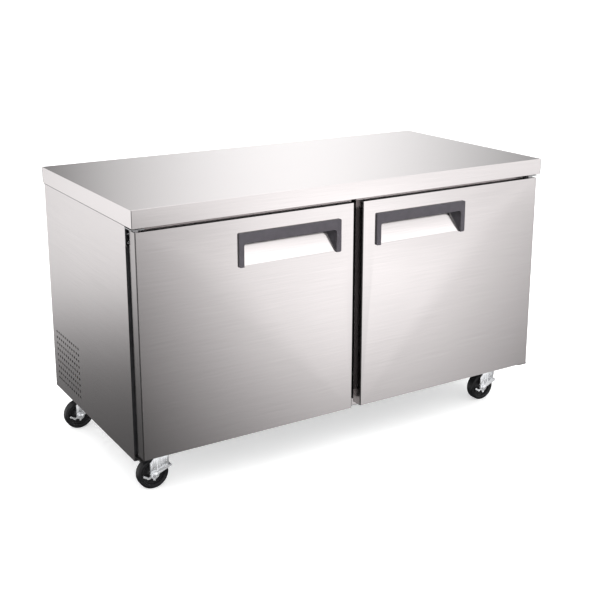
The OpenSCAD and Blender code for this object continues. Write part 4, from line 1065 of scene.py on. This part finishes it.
def sky():
    """Soft studio surroundings, mirrored about the room's middle: bright above, dark near the floor,
    with a bank of light at each diagonal."""
    world = bpy.data.worlds.new("studio")
    bpy.context.scene.world = world
    world.use_nodes = True
    tree = world.node_tree
    tree.nodes.clear()

    def calc(operation, *terms):
        inputs = dict(enumerate(terms))
        return add(tree, "ShaderNodeMath", inputs, operation=operation).outputs[0]

    def times(a, b):
        return calc("MULTIPLY", a, b)

    def rest(value):
        """What is left of 1."""
        return calc("SUBTRACT", 1.0, value)

    def step(value, low, high):
        """0 below low, 1 above high, smooth between."""
        return add(tree, "ShaderNodeMapRange", {"Value": value, "From Min": low, "From Max": high},
                   interpolation_type="SMOOTHSTEP").outputs["Result"]

    def by_height(stops):
        """Level against elevation in degrees."""
        top = max(level for _, level in stops)
        ramp = add(tree, "ShaderNodeValToRGB", {"Fac": between(tree, z, 0, 1, -1, 1)})
        line = ramp.color_ramp
        while len(line.elements) < len(stops):
            line.elements.new(0.5)
        for stop, (degrees, level) in zip(line.elements, stops):
            stop.position = (sin(radians(degrees)) + 1) / 2
            stop.color = (level / top,) * 3 + (1,)
        return times(ramp.outputs["Color"], top)

    def bank(middle, reach):
        """1 at that angle from the room's Y axis on either side, 0 beyond its reach, in degrees."""
        angle = calc("ARCSINE", across)
        off = calc("ABSOLUTE", calc("SUBTRACT", angle, radians(middle)))
        return rest(step(off, 0.0, radians(reach)))

    where = add(tree, "ShaderNodeTexCoord").outputs["Generated"]
    parts = add(tree, "ShaderNodeSeparateXYZ", {"Vector": where})
    x, y, z = (parts.outputs[i] for i in range(3))
    flat = calc("MAXIMUM", calc("SQRT", rest(times(z, z))), 0.001)
    across = calc("DIVIDE", calc("ABSOLUTE", x), flat)
    ahead = calc("DIVIDE", y, flat)

    room = by_height([(-90, 0.06), (-35, 0.07), (-27, 0.095), (-25, 0.12), (-23.5, 0.15), (-22, 0.2),
                      (-20.5, 0.31), (-19, 0.51), (-17.5, 0.77), (-16, 0.98), (-13, 1.14), (0, 1.1),
                      (20, 1.18), (30, 1.75), (90, 1.75)])
    low_bank = by_height([(-90, 0.08), (-35, 0.15), (-27, 0.33), (-24, 0.66), (-21, 0.99), (-18, 1.12),
                          (-15, 1.22), (-12, 1.3), (0, 1.3)])
    # these limits are sines of elevation, or of the angle from the room's X axis
    above = step(z, -0.05, 0.06)
    below = rest(step(z, -0.225, -0.185))
    front = times(step(times(ahead, -1.0), 0.05, 0.4), below)
    rear = times(step(ahead, 0.05, 0.4), above)
    rear_gap = calc("MINIMUM", times(rest(bank(31.5, 20)), rear), 0.8)
    dimmed = times(room, rest(times(rear_gap, 0.9)))
    dimmed = times(dimmed, rest(times(front, 0.72)))
    dimmed = times(dimmed, rest(times(step(ahead, 0.93, 0.965), 0.25)))
    lit = times(times(bank(34.5, 16.5), front), low_bank)
    total = calc("ADD", dimmed, lit)
    shader = add(tree, "ShaderNodeBackground", {"Color": (1, 1, 1, 1), "Strength": total})
    out = add(tree, "ShaderNodeOutputWorld")
    tree.links.new(shader.outputs[0], out.inputs["Surface"])


def backdrop():
    """Pale floor that turns up far away. It is left out of reflections, which show the studio."""
    radius, height, sides = 30.0, 14.0, 64
    shape = Shape()
    loops = [shape._verts([(x, y, z) for x, y in polygon(sides, r)]) for r, z in (
        (radius - 4, 0.0), (radius - 1.2, 0.4), (radius - 0.2, 1.6), (radius, height))]
    shape._faces([loops[0]], 0)
    shape._band(loops, 0)
    data = bpy.data.meshes.new("floor")
    shape.bm.to_mesh(data)
    shape.bm.free()
    floor = placed("floor", data)
    made, tree, shader = new_surface("floor_white")
    wire(tree, shader, Base_Color=(0.9, 0.9, 0.9, 1), Roughness=0.9,
         Emission_Color=(1, 1, 1, 1), Emission_Strength=0.45)
    data.materials.append(made)
    floor.visible_glossy = False


def camera():
    """The photograph's viewpoint: from the front left and slightly above."""
    azimuth, elevation = radians(-31.55), radians(14.68)
    distance = 3.660
    target = Vector((0.0137, 0.0, 0.630))
    back = Vector((sin(azimuth) * cos(elevation),
                   -cos(azimuth) * cos(elevation), sin(elevation)))
    data = bpy.data.cameras.new("camera")
    data.sensor_width = 36.0
    data.lens = 63.0
    data.shift_y = -0.1
    data.clip_end = 100
    made = placed("camera", data)
    made.location = target + back * distance
    made.rotation_mode = "QUATERNION"
    made.rotation_quaternion = (-back).to_track_quat("-Z", "Y")
    bpy.context.scene.camera = made


sheet_metal()
hinges()
frame_shade_strips()
worktop_shade_and_beads()
for which in SIDES:
    door_shell(which)
    door_inside(which)
for which in CORNERS:
    wheel(which)
    fork(which)
    rounded_copy(f"brake_{which}", f"brake_lever_{which}", 0.5)
fasteners()
grille()
for level in ("upper", "lower"):
    for which in SIDES:
        shelf(f"shelf_{level}_{which}")
evaporator()
condenser()
for which in SIDES:
    rotor(f"evaporator_fan_{which}", f"evaporator_blades_{which}", "Y", 20.0, 30.0)
rotor("condenser_fan", "condenser_blades", "X", 24.0, 30.0)
motors()
compressor()
pipes()
control_box()
cord_gland()
thermostat()
leftover_nodes()
sky()
backdrop()
camera()
bpy.context.scene.view_settings.view_transform = "Standard"
